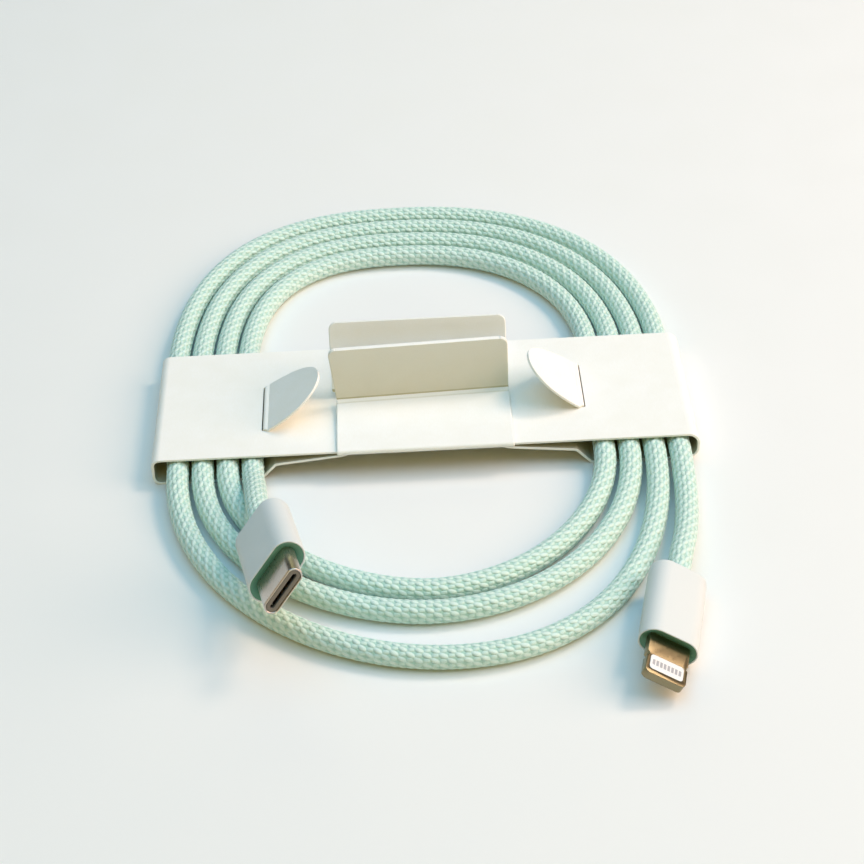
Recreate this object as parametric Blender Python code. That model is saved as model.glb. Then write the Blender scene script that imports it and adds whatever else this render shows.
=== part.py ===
"""Braided charging cable, wound in a flat oval coil and held by a folded card band.

Metres, +Z up. The origin is on the table under the middle of the card band,
+X runs along the band and +Y towards the back of the coil.
"""
import math

import bmesh
import bpy
import numpy as np
from mathutils import Euler, Matrix, Vector

MM = 0.001

# Clearances
FIT = 0.30 * MM
SMALL_FIT = 0.10 * MM

# Cable and its coil
CABLE_D = 3.75 * MM
STRAND_GAP = 0.50 * MM
TABLE_GAP = 0.025 * MM
PASSES = 4
INNER_PASS_X = 30.4 * MM
LEFT_SKEW = 0.9 * MM
BACK_REACH = 49.8 * MM
BACK_STEP = 4.75 * MM
BACK_LEAN = -2.6 * MM
BACK_ROUNDNESS = 2.35
FRONT_REACH = 47.1 * MM
FRONT_STEP = 5.0 * MM
FRONT_LEAN = 1.7 * MM
FRONT_ROUNDNESS = 1.85
FRONT_ROUNDNESS_STEP = 0.1
SLACK_REACH = 5.2 * MM
SLACK_LEAN = 3.1 * MM
ARC_STEPS = 11
COIL_STUB = 1.0 * MM

# Card band
CARD = 0.45 * MM
BAND_DEPTH = 30.0 * MM
FOLD_RADIUS = 1.8 * MM
FOLD_STEPS = 4
RAMP_FOOT = 2.3 * MM
RAMP_RUN = 2.6 * MM
RAMP_RISE = 2.8 * MM
WAIST_LAYERS = 3

# Flaps and standing fins
FLAP_WIDTH = 30.1 * MM
CREASE_SPACING = 1.2 * MM
CREASE_RISE = 0.25 * MM
FIN_INSET = 0.05 * MM
FIN_CORNER = 2.0 * MM
FRONT_FIN_HEIGHT = 10.4 * MM
REAR_FIN_HEIGHT = 13.0 * MM
REAR_FIN_SHIFT = -0.75 * MM
FRONT_FIN_LEAN = 5.5
REAR_FIN_LEAN = 21.0

# Locking tongues
TONGUE_LENGTH = 13.2 * MM
TONGUE_REACH = 11.6 * MM
TONGUE_INSET = 1.7 * MM
TONGUE_AXIS_RISE = 0.45 * MM
SLIT_WIDTH = 1.2 * MM
SLIT_END_GAP = 0.5 * MM
LEFT_TONGUE_Y = -2.0 * MM
RIGHT_TONGUE_Y = 0.2 * MM
LEFT_TONGUE_ANGLE = 38.0
RIGHT_TONGUE_ANGLE = 43.0

# Shared plug sizes
HOUSING_WALL = 0.8 * MM
HOUSING_LENGTH = 17.0 * MM
RIM_RADIUS = 0.2 * MM
REAR_RADIUS = 0.9 * MM
WIRE_HOLE_D = 2.6 * MM
FACE_RECESS = 0.5 * MM
FACE_THICKNESS = 1.2 * MM
FACE_BORDER = 0.45 * MM
BOARD_THICKNESS = 0.8 * MM
BOARD_LENGTH = 6.0 * MM
BUSH_D = 3.2 * MM
BUSH_BORE = 2.2 * MM
BUSH_LENGTH = 1.2 * MM
CRIMP_D = 3.0 * MM
CRIMP_BORE = 2.3 * MM
CRIMP_LENGTH = 2.4 * MM
WIRE_D = 0.6 * MM
WIRES = 4

# Oval plug
SHELL_WIDTH = 8.34 * MM
SHELL_THICKNESS = 2.56 * MM
SHELL_WALL = 0.3 * MM
SHELL_NOSE = 6.6 * MM
SHELL_TAIL = 4.0 * MM
INSULATOR_SETBACK = 0.7 * MM
SLOT_WIDTH = 6.2 * MM
SLOT_HEIGHT = 1.1 * MM
SLOT_DEPTH = 5.2 * MM
OVAL_CONTACTS = 4
OVAL_CONTACT_PITCH = 1.1 * MM
OVAL_CONTACT_WIDTH = 0.45 * MM
CONTACT_THICKNESS = 0.12 * MM
CONTACT_GAP = 0.05 * MM
LATCH_THICKNESS = 0.15 * MM
LATCH_HEIGHT = 0.6 * MM
OVAL_PLACE = Vector((-23.6, -53.75, 13.3)) * MM
OVAL_TURN = Euler((math.radians(-15.0), math.radians(-48.5), math.radians(11.0)), "YXZ")

# Blade plug
BLADE_WIDTH = 6.7 * MM
BLADE_THICKNESS = 1.5 * MM
BLADE_NOSE = 6.65 * MM
BLADE_TAIL = 3.5 * MM
BLADE_CORNER = 0.9 * MM
BLADE_SIDE_WALL = 1.45 * MM
BLADE_FACE_WALL = 1.9 * MM
WINDOW_WIDTH = 5.6 * MM
WINDOW_LENGTH = 3.0 * MM
WINDOW_SETBACK = 0.9 * MM
NOTCH_RADIUS = 0.5 * MM
NOTCH_DEPTH = 0.3 * MM
BLADE_CONTACTS = 8
BLADE_CONTACT_PITCH = 0.62 * MM
BLADE_CONTACT_WIDTH = 0.4 * MM
BLADE_CONTACT_LENGTH = 2.1 * MM
CHIP_SIDE = 2.6 * MM
CHIP_HEIGHT = 0.6 * MM
BLADE_PLACE = Vector((34.5, -65.2, 3.8)) * MM
BLADE_TURN = Euler((0.0, math.radians(26.0), math.radians(-13.0)), "YXZ")

# Free leads: middle points of each, between the coil's end and the plug
LEAD_STRAIGHT = 1.5 * MM
OVAL_LEAD_MIDDLE = [Vector((-28.8, -22.0, 4.0)) * MM, Vector((-28.2, -28.0, 6.3)) * MM]
BLADE_LEAD_MIDDLE = [Vector((42.6, -28.0, 1.95)) * MM, Vector((41.3, -36.5, 2.5)) * MM]

# Places worked out from the sizes
CABLE_R = CABLE_D / 2
PASS_PITCH = CABLE_D + STRAND_GAP
OUTER_PASS_X = INNER_PASS_X + (PASSES - 1) * PASS_PITCH
CABLE_Z = CABLE_R + TABLE_GAP
SLEEVE_Z = CARD + FIT + CABLE_R
BAND_EDGE = BAND_DEPTH / 2
BAND_HALF = OUTER_PASS_X + LEFT_SKEW + CABLE_R + FIT + CARD
BAND_TOP = 2 * CARD + 2 * FIT + CABLE_D
WAIST_Z = BAND_TOP - WAIST_LAYERS * CARD
WAIST_HALF = FLAP_WIDTH / 2
FIN_WIDTH = FLAP_WIDTH - 2 * FIN_INSET
SLIT_X = INNER_PASS_X - CABLE_R - TONGUE_INSET
FLAP_LOW = BAND_TOP + FIT
FLAP_TOP = FLAP_LOW + CARD
CREASE_Z = FLAP_TOP + CREASE_RISE
LIP_Y = BAND_EDGE + FIT + CARD / 2
BOARD_START = SHELL_TAIL + FIT
CAVITY_END = HOUSING_LENGTH - HOUSING_WALL
BUSH_START = CAVITY_END - FIT - BUSH_LENGTH
CRIMP_START = BUSH_START - FIT - CRIMP_LENGTH
OVAL_WIDTH = SHELL_WIDTH + 2 * (2 * SMALL_FIT + FACE_BORDER + HOUSING_WALL)
OVAL_THICKNESS = SHELL_THICKNESS + 2 * (2 * SMALL_FIT + FACE_BORDER + HOUSING_WALL)
BLADE_BODY_WIDTH = BLADE_WIDTH + 2 * BLADE_SIDE_WALL
BLADE_BODY_THICKNESS = BLADE_THICKNESS + 2 * BLADE_FACE_WALL

for old in list(bpy.data.objects):
    bpy.data.objects.remove(old, do_unlink=True)


def material(name, colour, roughness, metallic=0.0):
    """Return a Principled material of one colour."""
    made = bpy.data.materials.new(name)
    made.use_nodes = True
    shader = made.node_tree.nodes["Principled BSDF"]
    shader.inputs["Base Color"].default_value = (*colour, 1.0)
    shader.inputs["Roughness"].default_value = roughness
    shader.inputs["Metallic"].default_value = metallic
    return made


CARD_WHITE = ((0.91, 0.90, 0.84), 0.75)
BRAID_MINT = ((0.33, 0.61, 0.50), 0.85)
PLUG_WHITE = ((0.80, 0.83, 0.82), 0.30)
FACE_GREEN = ((0.13, 0.30, 0.22), 0.45)
NICKEL = ((0.62, 0.58, 0.54), 0.28, 1.0)
GOLD = ((0.80, 0.62, 0.35), 0.30, 1.0)
GREY_METAL = ((0.45, 0.44, 0.43), 0.35, 1.0)
BLACK_PLASTIC = ((0.02, 0.02, 0.022), 0.5)
WHITE_PLASTIC = ((0.82, 0.82, 0.80), 0.4)
BOARD_GREEN = ((0.05, 0.22, 0.10), 0.5)
COPPER = ((0.72, 0.35, 0.20), 0.35, 1.0)
WIRE_COLOURS = [(0.55, 0.04, 0.04), (0.02, 0.02, 0.02), (0.05, 0.35, 0.10), (0.85, 0.85, 0.82)]


def add_object(name, data, look, parent=None):
    """Link an object with its own material, in its parent's frame when it has one."""
    made = bpy.data.objects.new(name, data)
    bpy.context.collection.objects.link(made)
    made.parent = parent
    data.materials.append(material(name, *look))
    return made


def add_mesh(name, shape, look, parent=None, smooth=False):
    """Turn a bmesh into a named object with its faces pointing out."""
    bmesh.ops.recalc_face_normals(shape, faces=shape.faces)
    mesh = bpy.data.meshes.new(name)
    shape.to_mesh(mesh)
    shape.free()
    if smooth:
        mesh.shade_smooth()
        mesh.set_sharp_from_angle(angle=math.radians(40.0))
    return add_object(name, mesh, look, parent)


def add_empty(name, place, turn=None):
    """Add an empty that carries the pieces of one plug."""
    made = bpy.data.objects.new(name, None)
    bpy.context.collection.objects.link(made)
    made.location = place
    if turn is not None:
        made.rotation_mode = turn.order
        made.rotation_euler = turn
    return made


def boolean(target, shape, operation):
    """Cut a shape out of a piece, or join it on, with a hidden guide object."""
    guide = add_mesh(target.name + "_guide", shape, BLACK_PLASTIC, target.parent)
    guide.location = target.location
    guide.rotation_euler = target.rotation_euler
    guide.hide_render = True
    guide.display_type = "WIRE"
    modifier = target.modifiers.new(operation.lower(), "BOOLEAN")
    modifier.operation = operation
    modifier.solver = "EXACT"
    modifier.object = guide


def prism(outline, low, high):
    """Extrude a closed outline of points from one offset to another."""
    shape = bmesh.new()
    base = [shape.verts.new(point + low) for point in outline]
    face = shape.faces.new(base)
    grown = bmesh.ops.extrude_face_region(shape, geom=[face])
    moved = [item for item in grown["geom"] if isinstance(item, bmesh.types.BMVert)]
    bmesh.ops.translate(shape, verts=moved, vec=high - low)
    return shape


def block(low, high):
    """Return a box between two corners."""
    low = Vector(low)
    high = Vector(high)
    shape = bmesh.new()
    bmesh.ops.create_cube(shape, size=1.0)
    middle = (low + high) / 2
    size = high - low
    bmesh.ops.transform(shape, verts=shape.verts, matrix=Matrix.Translation(middle) @ Matrix.Diagonal((*size, 1.0)))
    return shape


def stadium(width, thickness, y, steps=10):
    """Return one ring of points round a flat-sided oval in a plug's cross-section."""
    half = math.pi / (2 * steps)
    radius = thickness / 2 / math.cos(half)
    straight = (width - thickness) / 2
    right = []
    for k in range(steps):
        angle = -math.pi / 2 + (2 * k + 1) * half
        right.append(Vector((straight + radius * math.cos(angle), y, radius * math.sin(angle))))
    left = [Vector((-point.x, y, -point.z)) for point in right]
    return right + left


def loft(rings, through=False):
    """Skin a row of rings; close it into a tube when it goes through, else cap both ends."""
    shape = bmesh.new()
    rows = [[shape.verts.new(point) for point in ring] for ring in rings]
    pairs = list(zip(rows, rows[1:]))
    if through:
        pairs.append((rows[-1], rows[0]))
    for first, second in pairs:
        for k in range(len(first)):
            n = (k + 1) % len(first)
            shape.faces.new((first[k], first[n], second[n], second[k]))
    if not through:
        shape.faces.new(rows[0])
        shape.faces.new(rows[-1])
    return shape


def tube(outer, bore, start, length):
    """Return a round sleeve along a plug's axis."""
    end = start + length
    rings = [stadium(outer, outer, start, 8), stadium(outer, outer, end, 8)]
    rings += [stadium(bore, bore, end, 8), stadium(bore, bore, start, 8)]
    return loft(rings, through=True)


def add_tube(name, points, diameter, resolution, look, parent=None):
    """Add a round tube with closed ends along a row of points."""
    curve = bpy.data.curves.new(name, "CURVE")
    curve.dimensions = "3D"
    curve.fill_mode = "FULL"
    curve.bevel_depth = diameter / 2
    curve.bevel_resolution = resolution
    curve.use_fill_caps = True
    spline = curve.splines.new("POLY")
    spline.points.add(len(points) - 1)
    for spot, point in zip(spline.points, points):
        spot.co = (*point, 1.0)
    return add_object(name, curve, look, parent)


def half_turn(x_from, x_to, reach, side, roundness, lean):
    """Return the points of one half turn of cable beyond the band's front or back edge."""
    centre = (x_from + x_to) / 2
    half = (x_from - x_to) / 2
    points = []
    for k in range(ARC_STEPS + 1):
        angle = math.pi * k / ARC_STEPS
        across = math.copysign(abs(math.cos(angle)) ** (2 / roundness), math.cos(angle))
        along = abs(math.sin(angle)) ** (2 / roundness) if 0 < k < ARC_STEPS else 0.0
        x = centre + half * across + lean * along ** 2
        y = side * (BAND_EDGE + (reach - BAND_EDGE) * along)
        z = SLEEVE_Z if along == 0.0 else CABLE_Z
        points.append(Vector((x, y, z)))
    return points


def coil_points():
    """Return the coil's route, from the innermost pass on the left to the outermost on the right."""
    passes = [INNER_PASS_X + k * PASS_PITCH for k in range(PASSES)]
    route = []
    for k, x in enumerate(passes):
        back = BACK_REACH + k * BACK_STEP
        route += half_turn(-x - LEFT_SKEW, x, back, 1, BACK_ROUNDNESS, BACK_LEAN)
        if k < PASSES - 1:
            last = k == PASSES - 2
            reach = FRONT_REACH + k * FRONT_STEP + (SLACK_REACH if last else 0.0)
            lean = FRONT_LEAN + (SLACK_LEAN if last else 0.0)
            roundness = FRONT_ROUNDNESS + k * FRONT_ROUNDNESS_STEP
            route += half_turn(x, LEFT_SKEW - passes[k + 1], reach, -1, roundness, lean)
    front = -BAND_EDGE - COIL_STUB
    drift = LEFT_SKEW * (BAND_EDGE + COIL_STUB) / BAND_EDGE
    route.insert(0, Vector((drift - passes[0], front, SLEEVE_Z)))
    route.append(Vector((passes[-1], front, SLEEVE_Z)))
    return route


def least_gap(route, diameter):
    """Measure the least gap between stretches of a route that lie apart along it."""
    spots = []
    places = []
    travelled = 0.0
    for first, second in zip(route, route[1:]):
        length = (second - first).length
        count = max(1, math.ceil(length / diameter))
        for k in range(count):
            spots.append(first.lerp(second, k / count))
            places.append(travelled + length * k / count)
        travelled += length
    spots = np.array([tuple(spot) for spot in spots])
    places = np.array(places)
    apart = np.linalg.norm(spots[:, None] - spots[None], axis=2)
    apart[abs(places[:, None] - places[None]) < 6 * diameter] = np.inf
    return apart.min() - diameter, travelled


def smooth_route(points, spacing):
    """Read points off one smooth curve through a route, keeping its straight ends."""
    route = [points[0], points[1]]
    for k in range(1, len(points) - 2):
        before, start, end, after = points[k - 1:k + 3]
        count = max(1, round((end - start).length / spacing))
        for n in range(1, count + 1):
            t = n / count
            pull = (end - before) * (t - 2 * t ** 2 + t ** 3) / 2
            push = (after - start) * (t ** 3 - t ** 2) / 2
            blend = 3 * t ** 2 - 2 * t ** 3
            route.append(start.lerp(end, blend) + pull + push)
    route.append(points[-1])
    return route


def plug_axis(place, turn, y):
    """Return the point at a distance behind a plug's mouth, on its axis."""
    return place + turn.to_matrix() @ Vector((0.0, y, 0.0))


def lead_points(coil_end, coil_before, middle, place, turn):
    """Return a free lead's route from the end of the coil to the back of its plug."""
    onward = (coil_end - coil_before).normalized()
    start = coil_end + onward * FIT
    square = start + onward * LEAD_STRAIGHT
    near = plug_axis(place, turn, HOUSING_LENGTH + FIT + CABLE_D)
    end = plug_axis(place, turn, HOUSING_LENGTH + FIT)
    return smooth_route([start, square, *middle, near, end], 2 * CABLE_D)


def mitre(before, here, after, distance):
    """Return a corner of an outline moved inwards by a wall's thickness."""
    first = (here - before).normalized()
    second = (after - here).normalized()
    normal = Vector((-first.y, first.x)) + Vector((-second.y, second.x))
    normal.normalize()
    return here + normal * distance / normal.dot(Vector((-first.y, first.x)))


def rounded(before, here, after, radius):
    """Return the points that round one corner of an outline."""
    back = (before - here).normalized()
    onward = (after - here).normalized()
    half = back.angle(onward) / 2
    centre = here + (back + onward).normalized() * radius / math.sin(half)
    start = here + back * radius / math.tan(half) - centre
    end = here + onward * radius / math.tan(half) - centre
    spokes = [start.lerp(end, k / FOLD_STEPS).normalized() for k in range(FOLD_STEPS + 1)]
    return [centre + spoke * radius for spoke in spokes]


def upright(points):
    """Turn a flat outline into points of a section across the band."""
    return [Vector((point.x, 0.0, point.y)) for point in points]


def make_band():
    """Make the card band: two flat sleeves joined by a raised waist, with slits for the tongues."""
    ramp_foot = INNER_PASS_X - RAMP_FOOT
    ramp_top = ramp_foot - RAMP_RUN
    waist = Vector((WAIST_HALF, WAIST_Z))
    ramp = [Vector((ramp_top, RAMP_RISE)), Vector((ramp_foot, 0.0))]
    folds = [Vector((BAND_HALF, 0.0)), Vector((BAND_HALF, BAND_TOP))]
    top = Vector((WAIST_HALF, BAND_TOP))
    side = [waist, *ramp]
    side += rounded(ramp[1], folds[0], folds[1], FOLD_RADIUS)
    side += rounded(folds[0], folds[1], top, FOLD_RADIUS)
    other = [Vector((-point.x, point.y)) for point in reversed(side)]
    edge = Vector((0.0, BAND_EDGE, 0.0))
    band = add_mesh("card_band", prism(upright(side + other), -edge, edge), CARD_WHITE)
    corners = [waist, *ramp, *folds, top]
    inner = [mitre(*corners[k - 1:k + 2], CARD) for k in range(1, 5)]
    inner.append(Vector((WAIST_HALF + CARD, BAND_TOP - CARD)))
    hollow = inner[:2]
    hollow += rounded(inner[1], inner[2], inner[3], FOLD_RADIUS - CARD)
    hollow += rounded(inner[2], inner[3], inner[4], FOLD_RADIUS - CARD)
    hollow.append(inner[4])
    reach = Vector((0.0, BAND_DEPTH, 0.0))
    for sign in (-1, 1):
        outline = [Vector((sign * point.x, point.y)) for point in hollow]
        boolean(band, prism(upright(outline), -reach, reach), "DIFFERENCE")
    for sign, y in ((-1, LEFT_TONGUE_Y), (1, RIGHT_TONGUE_Y)):
        half = TONGUE_LENGTH / 2 + SLIT_END_GAP
        slit_low = (sign * SLIT_X - SLIT_WIDTH / 2, y - half, BAND_TOP - 1.5 * CARD)
        slit_high = (sign * SLIT_X + SLIT_WIDTH / 2, y + half, BAND_TOP + CARD)
        boolean(band, block(slit_low, slit_high), "DIFFERENCE")
        root_half = TONGUE_LENGTH / 2
        ramp_z = np.interp(SLIT_X, [WAIST_HALF, ramp_top, ramp_foot], [WAIST_Z, RAMP_RISE, 0.0])
        root_low = (sign * SLIT_X - CARD / 2, y - root_half, ramp_z + CARD / 2)
        root_high = (sign * SLIT_X + CARD / 2, y + root_half, BAND_TOP)
        boolean(band, block(root_low, root_high), "UNION")


def make_tongue(name, sign, y, angle):
    """Make a D-shaped locking tongue that swings about its slit."""
    outline = []
    for k in range(13):
        turn = math.pi * k / 12
        x = -sign * TONGUE_REACH * math.sin(turn)
        outline.append(Vector((x, -TONGUE_LENGTH / 2 * math.cos(turn), 0.0)))
    lift = Vector((0.0, 0.0, CARD / 2))
    tongue = add_mesh(name, prism(outline, -lift, lift), CARD_WHITE)
    tongue.location = (sign * SLIT_X, y, BAND_TOP + TONGUE_AXIS_RISE)
    tongue.rotation_euler = (0.0, math.radians(sign * angle), 0.0)


def make_flap(name, sign):
    """Make a flap that wraps one edge of the band's waist and lies on top of it."""
    end = CREASE_SPACING / 2 + CREASE_RISE + SMALL_FIT
    inner = BAND_EDGE + FIT
    outer = inner + CARD
    section = [(end, FLAP_LOW), (inner, FLAP_LOW), (inner, WAIST_Z), (outer, WAIST_Z)]
    section += [(outer, FLAP_TOP - CARD / 2), (outer - CARD / 2, FLAP_TOP), (end, FLAP_TOP)]
    hinge = Vector((0.0, sign * LIP_Y, WAIST_Z))
    outline = [Vector((0.0, sign * y, z)) - hinge for y, z in section]
    half = Vector((FLAP_WIDTH / 2, 0.0, 0.0))
    flap = add_mesh(name, prism(outline, -half, half), CARD_WHITE)
    flap.location = hinge
    return flap


def make_fin(name, flap, sign, height, shift, lean):
    """Make a fin that stands on the free edge of a flap and leans back from it."""
    outline = [Vector((-FIN_WIDTH / 2, 0.0, SMALL_FIT)), Vector((FIN_WIDTH / 2, 0.0, SMALL_FIT))]
    for x_sign, start in ((1, 0.0), (-1, math.pi / 2)):
        for k in range(5):
            turn = start + math.pi / 2 * k / 4
            x = x_sign * (FIN_WIDTH / 2 - FIN_CORNER) + FIN_CORNER * math.cos(turn)
            z = height - FIN_CORNER + FIN_CORNER * math.sin(turn)
            outline.append(Vector((x, 0.0, z)))
    half = Vector((0.0, CARD / 2, 0.0))
    fin = add_mesh(name, prism(outline, -half, half), CARD_WHITE, flap)
    fin.location = Vector((shift, sign * CREASE_SPACING / 2, CREASE_Z)) - flap.location
    fin.rotation_euler = (math.radians(-lean), 0.0, 0.0)


def make_housing(name, width, thickness, plug):
    """Make a plug's moulded housing: a flat oval cup with a rounded back and a cable hole."""
    rings = [stadium(width - 2 * RIM_RADIUS, thickness - 2 * RIM_RADIUS, 0.0)]
    rings.append(stadium(width, thickness, RIM_RADIUS))
    for k in range(4):
        turn = math.pi / 2 * k / 3
        inset = 2 * REAR_RADIUS * (1 - math.cos(turn))
        y = HOUSING_LENGTH - REAR_RADIUS * (1 - math.sin(turn))
        rings.append(stadium(width - inset, thickness - inset, y))
    rings.append(stadium(WIRE_HOLE_D, WIRE_HOLE_D, HOUSING_LENGTH))
    rings.append(stadium(WIRE_HOLE_D, WIRE_HOLE_D, CAVITY_END))
    bore = 2 * HOUSING_WALL
    rings.append(stadium(width - bore, thickness - bore, CAVITY_END))
    rings.append(stadium(width - bore, thickness - bore, 0.0))
    add_mesh(name, loft(rings, through=True), PLUG_WHITE, plug, smooth=True)


def make_wiring(prefix, plug, board_end, spread):
    """Make the crimp sleeve, the strain bush and the wires between cable and board."""
    crimp = tube(CRIMP_D, CRIMP_BORE, CRIMP_START, CRIMP_LENGTH)
    add_mesh(prefix + "_crimp_sleeve", crimp, COPPER, plug, smooth=True)
    bush = tube(BUSH_D, BUSH_BORE, BUSH_START, BUSH_LENGTH)
    add_mesh(prefix + "_strain_bush", bush, PLUG_WHITE, plug, smooth=True)
    bundle = CRIMP_BORE / 2 - SMALL_FIT - WIRE_D / 2
    for k in range(WIRES):
        turn = math.pi * (1.25 - 0.5 * k)
        x = bundle * math.cos(turn)
        z = bundle * math.sin(turn)
        fan = spread * (k - (WIRES - 1) / 2) / (WIRES - 1)
        start = board_end + FIT
        bend = (CRIMP_START - start) / 3
        points = [Vector((x, BUSH_START + BUSH_LENGTH / 2, z)), Vector((x, CRIMP_START, z))]
        points += [Vector((fan, start + bend, 0.0)), Vector((fan, start, 0.0))]
        look = (WIRE_COLOURS[k % len(WIRE_COLOURS)], 0.5)
        add_tube(prefix + "_wire_" + str(k + 1), points, WIRE_D, 1, look, plug)


def make_oval_plug():
    """Make the plug with the oval metal shell."""
    plug = add_empty("oval_plug_axis", OVAL_PLACE, OVAL_TURN)
    make_housing("oval_housing", OVAL_WIDTH, OVAL_THICKNESS, plug)
    face_end = FACE_RECESS + FACE_THICKNESS
    room = 2 * (HOUSING_WALL + SMALL_FIT)
    rings = [stadium(OVAL_WIDTH - room, OVAL_THICKNESS - room, y) for y in (FACE_RECESS, face_end)]
    grip = 2 * SMALL_FIT
    rings += [stadium(SHELL_WIDTH + grip, SHELL_THICKNESS + grip, y) for y in (face_end, FACE_RECESS)]
    add_mesh("oval_front_face", loft(rings, through=True), FACE_GREEN, plug, smooth=True)
    wall = 2 * SHELL_WALL
    rings = [stadium(SHELL_WIDTH, SHELL_THICKNESS, y) for y in (-SHELL_NOSE, SHELL_TAIL)]
    rings += [stadium(SHELL_WIDTH - wall, SHELL_THICKNESS - wall, y) for y in (SHELL_TAIL, -SHELL_NOSE)]
    add_mesh("oval_metal_shell", loft(rings, through=True), NICKEL, plug, smooth=True)
    core = wall + 2 * SMALL_FIT
    nose = INSULATOR_SETBACK - SHELL_NOSE
    rings = [stadium(SHELL_WIDTH - core, SHELL_THICKNESS - core, y) for y in (nose, SHELL_TAIL)]
    insulator = add_mesh("oval_insulator", loft(rings), BLACK_PLASTIC, plug, smooth=True)
    slot_low = (-SLOT_WIDTH / 2, nose - SLOT_DEPTH, -SLOT_HEIGHT / 2)
    slot_high = (SLOT_WIDTH / 2, nose + SLOT_DEPTH, SLOT_HEIGHT / 2)
    boolean(insulator, block(slot_low, slot_high), "DIFFERENCE")
    start = nose + FIT
    end = nose + SLOT_DEPTH - SMALL_FIT
    for row, sign in (("upper", 1), ("lower", -1)):
        outer = sign * (SLOT_HEIGHT / 2 - CONTACT_GAP)
        inner = outer - sign * CONTACT_THICKNESS
        for k in range(OVAL_CONTACTS):
            x = OVAL_CONTACT_PITCH * (k - (OVAL_CONTACTS - 1) / 2)
            low = (x - OVAL_CONTACT_WIDTH / 2, start, min(outer, inner))
            high = (x + OVAL_CONTACT_WIDTH / 2, end, max(outer, inner))
            add_mesh("oval_" + row + "_contact_" + str(k + 1), block(low, high), GOLD, plug)
    for side, sign in (("left", -1), ("right", 1)):
        outer = sign * (SLOT_WIDTH / 2 - SMALL_FIT)
        inner = outer - sign * LATCH_THICKNESS
        low = (min(outer, inner), start, -LATCH_HEIGHT / 2)
        high = (max(outer, inner), end, LATCH_HEIGHT / 2)
        add_mesh("oval_latch_" + side, block(low, high), GREY_METAL, plug)
    board_half = (SHELL_WIDTH - wall) / 2
    board_end = BOARD_START + BOARD_LENGTH
    low = (-board_half, BOARD_START, -BOARD_THICKNESS / 2)
    high = (board_half, board_end, BOARD_THICKNESS / 2)
    add_mesh("oval_board", block(low, high), BOARD_GREEN, plug)
    make_wiring("oval", plug, board_end, board_half)


def make_blade_plug():
    """Make the plug with the flat contact blade."""
    plug = add_empty("blade_plug_axis", BLADE_PLACE, BLADE_TURN)
    make_housing("blade_housing", BLADE_BODY_WIDTH, BLADE_BODY_THICKNESS, plug)
    room = 2 * (HOUSING_WALL + SMALL_FIT)
    face_end = FACE_RECESS + FACE_THICKNESS
    rings = []
    for y in (FACE_RECESS, face_end):
        rings.append(stadium(BLADE_BODY_WIDTH - room, BLADE_BODY_THICKNESS - room, y))
    face = add_mesh("blade_front_face", loft(rings), FACE_GREEN, plug, smooth=True)
    half_x = BLADE_WIDTH / 2 + SMALL_FIT
    half_z = BLADE_THICKNESS / 2 + SMALL_FIT
    boolean(face, block((-half_x, -BLADE_NOSE, -half_z), (half_x, BLADE_TAIL, half_z)), "DIFFERENCE")
    half = BLADE_WIDTH / 2
    outline = [Vector((half, BLADE_TAIL, 0.0)), Vector((-half, BLADE_TAIL, 0.0))]
    for x_sign, start in ((-1, math.pi), (1, 1.5 * math.pi)):
        for k in range(5):
            turn = start + math.pi / 2 * k / 4
            x = x_sign * (half - BLADE_CORNER) + BLADE_CORNER * math.cos(turn)
            outline.append(Vector((x, BLADE_CORNER - BLADE_NOSE + BLADE_CORNER * math.sin(turn), 0.0)))
    lift = Vector((0.0, 0.0, BLADE_THICKNESS / 2))
    frame = add_mesh("blade_frame", prism(outline, -lift, lift), NICKEL, plug)
    window_start = WINDOW_SETBACK - BLADE_NOSE
    window_end = window_start + WINDOW_LENGTH
    through = BLADE_THICKNESS
    low = (-WINDOW_WIDTH / 2, window_start, -through)
    high = (WINDOW_WIDTH / 2, window_end, through)
    boolean(frame, block(low, high), "DIFFERENCE")
    for sign in (-1, 1):
        notch = bmesh.new()
        bmesh.ops.create_cone(
            notch, segments=16, cap_ends=True,
            radius1=NOTCH_RADIUS, radius2=NOTCH_RADIUS, depth=2 * through,
        )
        x = sign * (half + NOTCH_RADIUS - NOTCH_DEPTH)
        bmesh.ops.translate(notch, verts=notch.verts, vec=(x, window_end, 0.0))
        boolean(frame, notch, "DIFFERENCE")
    sunk = BLADE_THICKNESS / 2 - CONTACT_THICKNESS - CONTACT_GAP
    low = (SMALL_FIT - WINDOW_WIDTH / 2, window_start + SMALL_FIT, -sunk)
    high = (WINDOW_WIDTH / 2 - SMALL_FIT, window_end - SMALL_FIT, sunk)
    add_mesh("blade_insulator", block(low, high), WHITE_PLASTIC, plug)
    middle = (window_start + window_end) / 2
    for row, sign in (("upper", 1), ("lower", -1)):
        inner = sign * (sunk + CONTACT_GAP)
        outer = inner + sign * CONTACT_THICKNESS
        for k in range(BLADE_CONTACTS):
            x = BLADE_CONTACT_PITCH * (k - (BLADE_CONTACTS - 1) / 2)
            low = (x - BLADE_CONTACT_WIDTH / 2, middle - BLADE_CONTACT_LENGTH / 2, min(inner, outer))
            high = (x + BLADE_CONTACT_WIDTH / 2, middle + BLADE_CONTACT_LENGTH / 2, max(inner, outer))
            add_mesh("blade_" + row + "_contact_" + str(k + 1), block(low, high), GREY_METAL, plug)
    board_half = half - SHELL_WALL
    board_start = BLADE_TAIL + FIT
    board_end = board_start + BOARD_LENGTH
    low = (-board_half, board_start, -BOARD_THICKNESS / 2)
    high = (board_half, board_end, BOARD_THICKNESS / 2)
    add_mesh("blade_board", block(low, high), BOARD_GREEN, plug)
    chip_y = (board_start + board_end) / 2
    chip_z = BOARD_THICKNESS / 2 + SMALL_FIT
    low = (-CHIP_SIDE / 2, chip_y - CHIP_SIDE / 2, chip_z)
    high = (CHIP_SIDE / 2, chip_y + CHIP_SIDE / 2, chip_z + CHIP_HEIGHT)
    add_mesh("blade_chip", block(low, high), BLACK_PLASTIC, plug)
    make_wiring("blade", plug, board_end, board_half)


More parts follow.
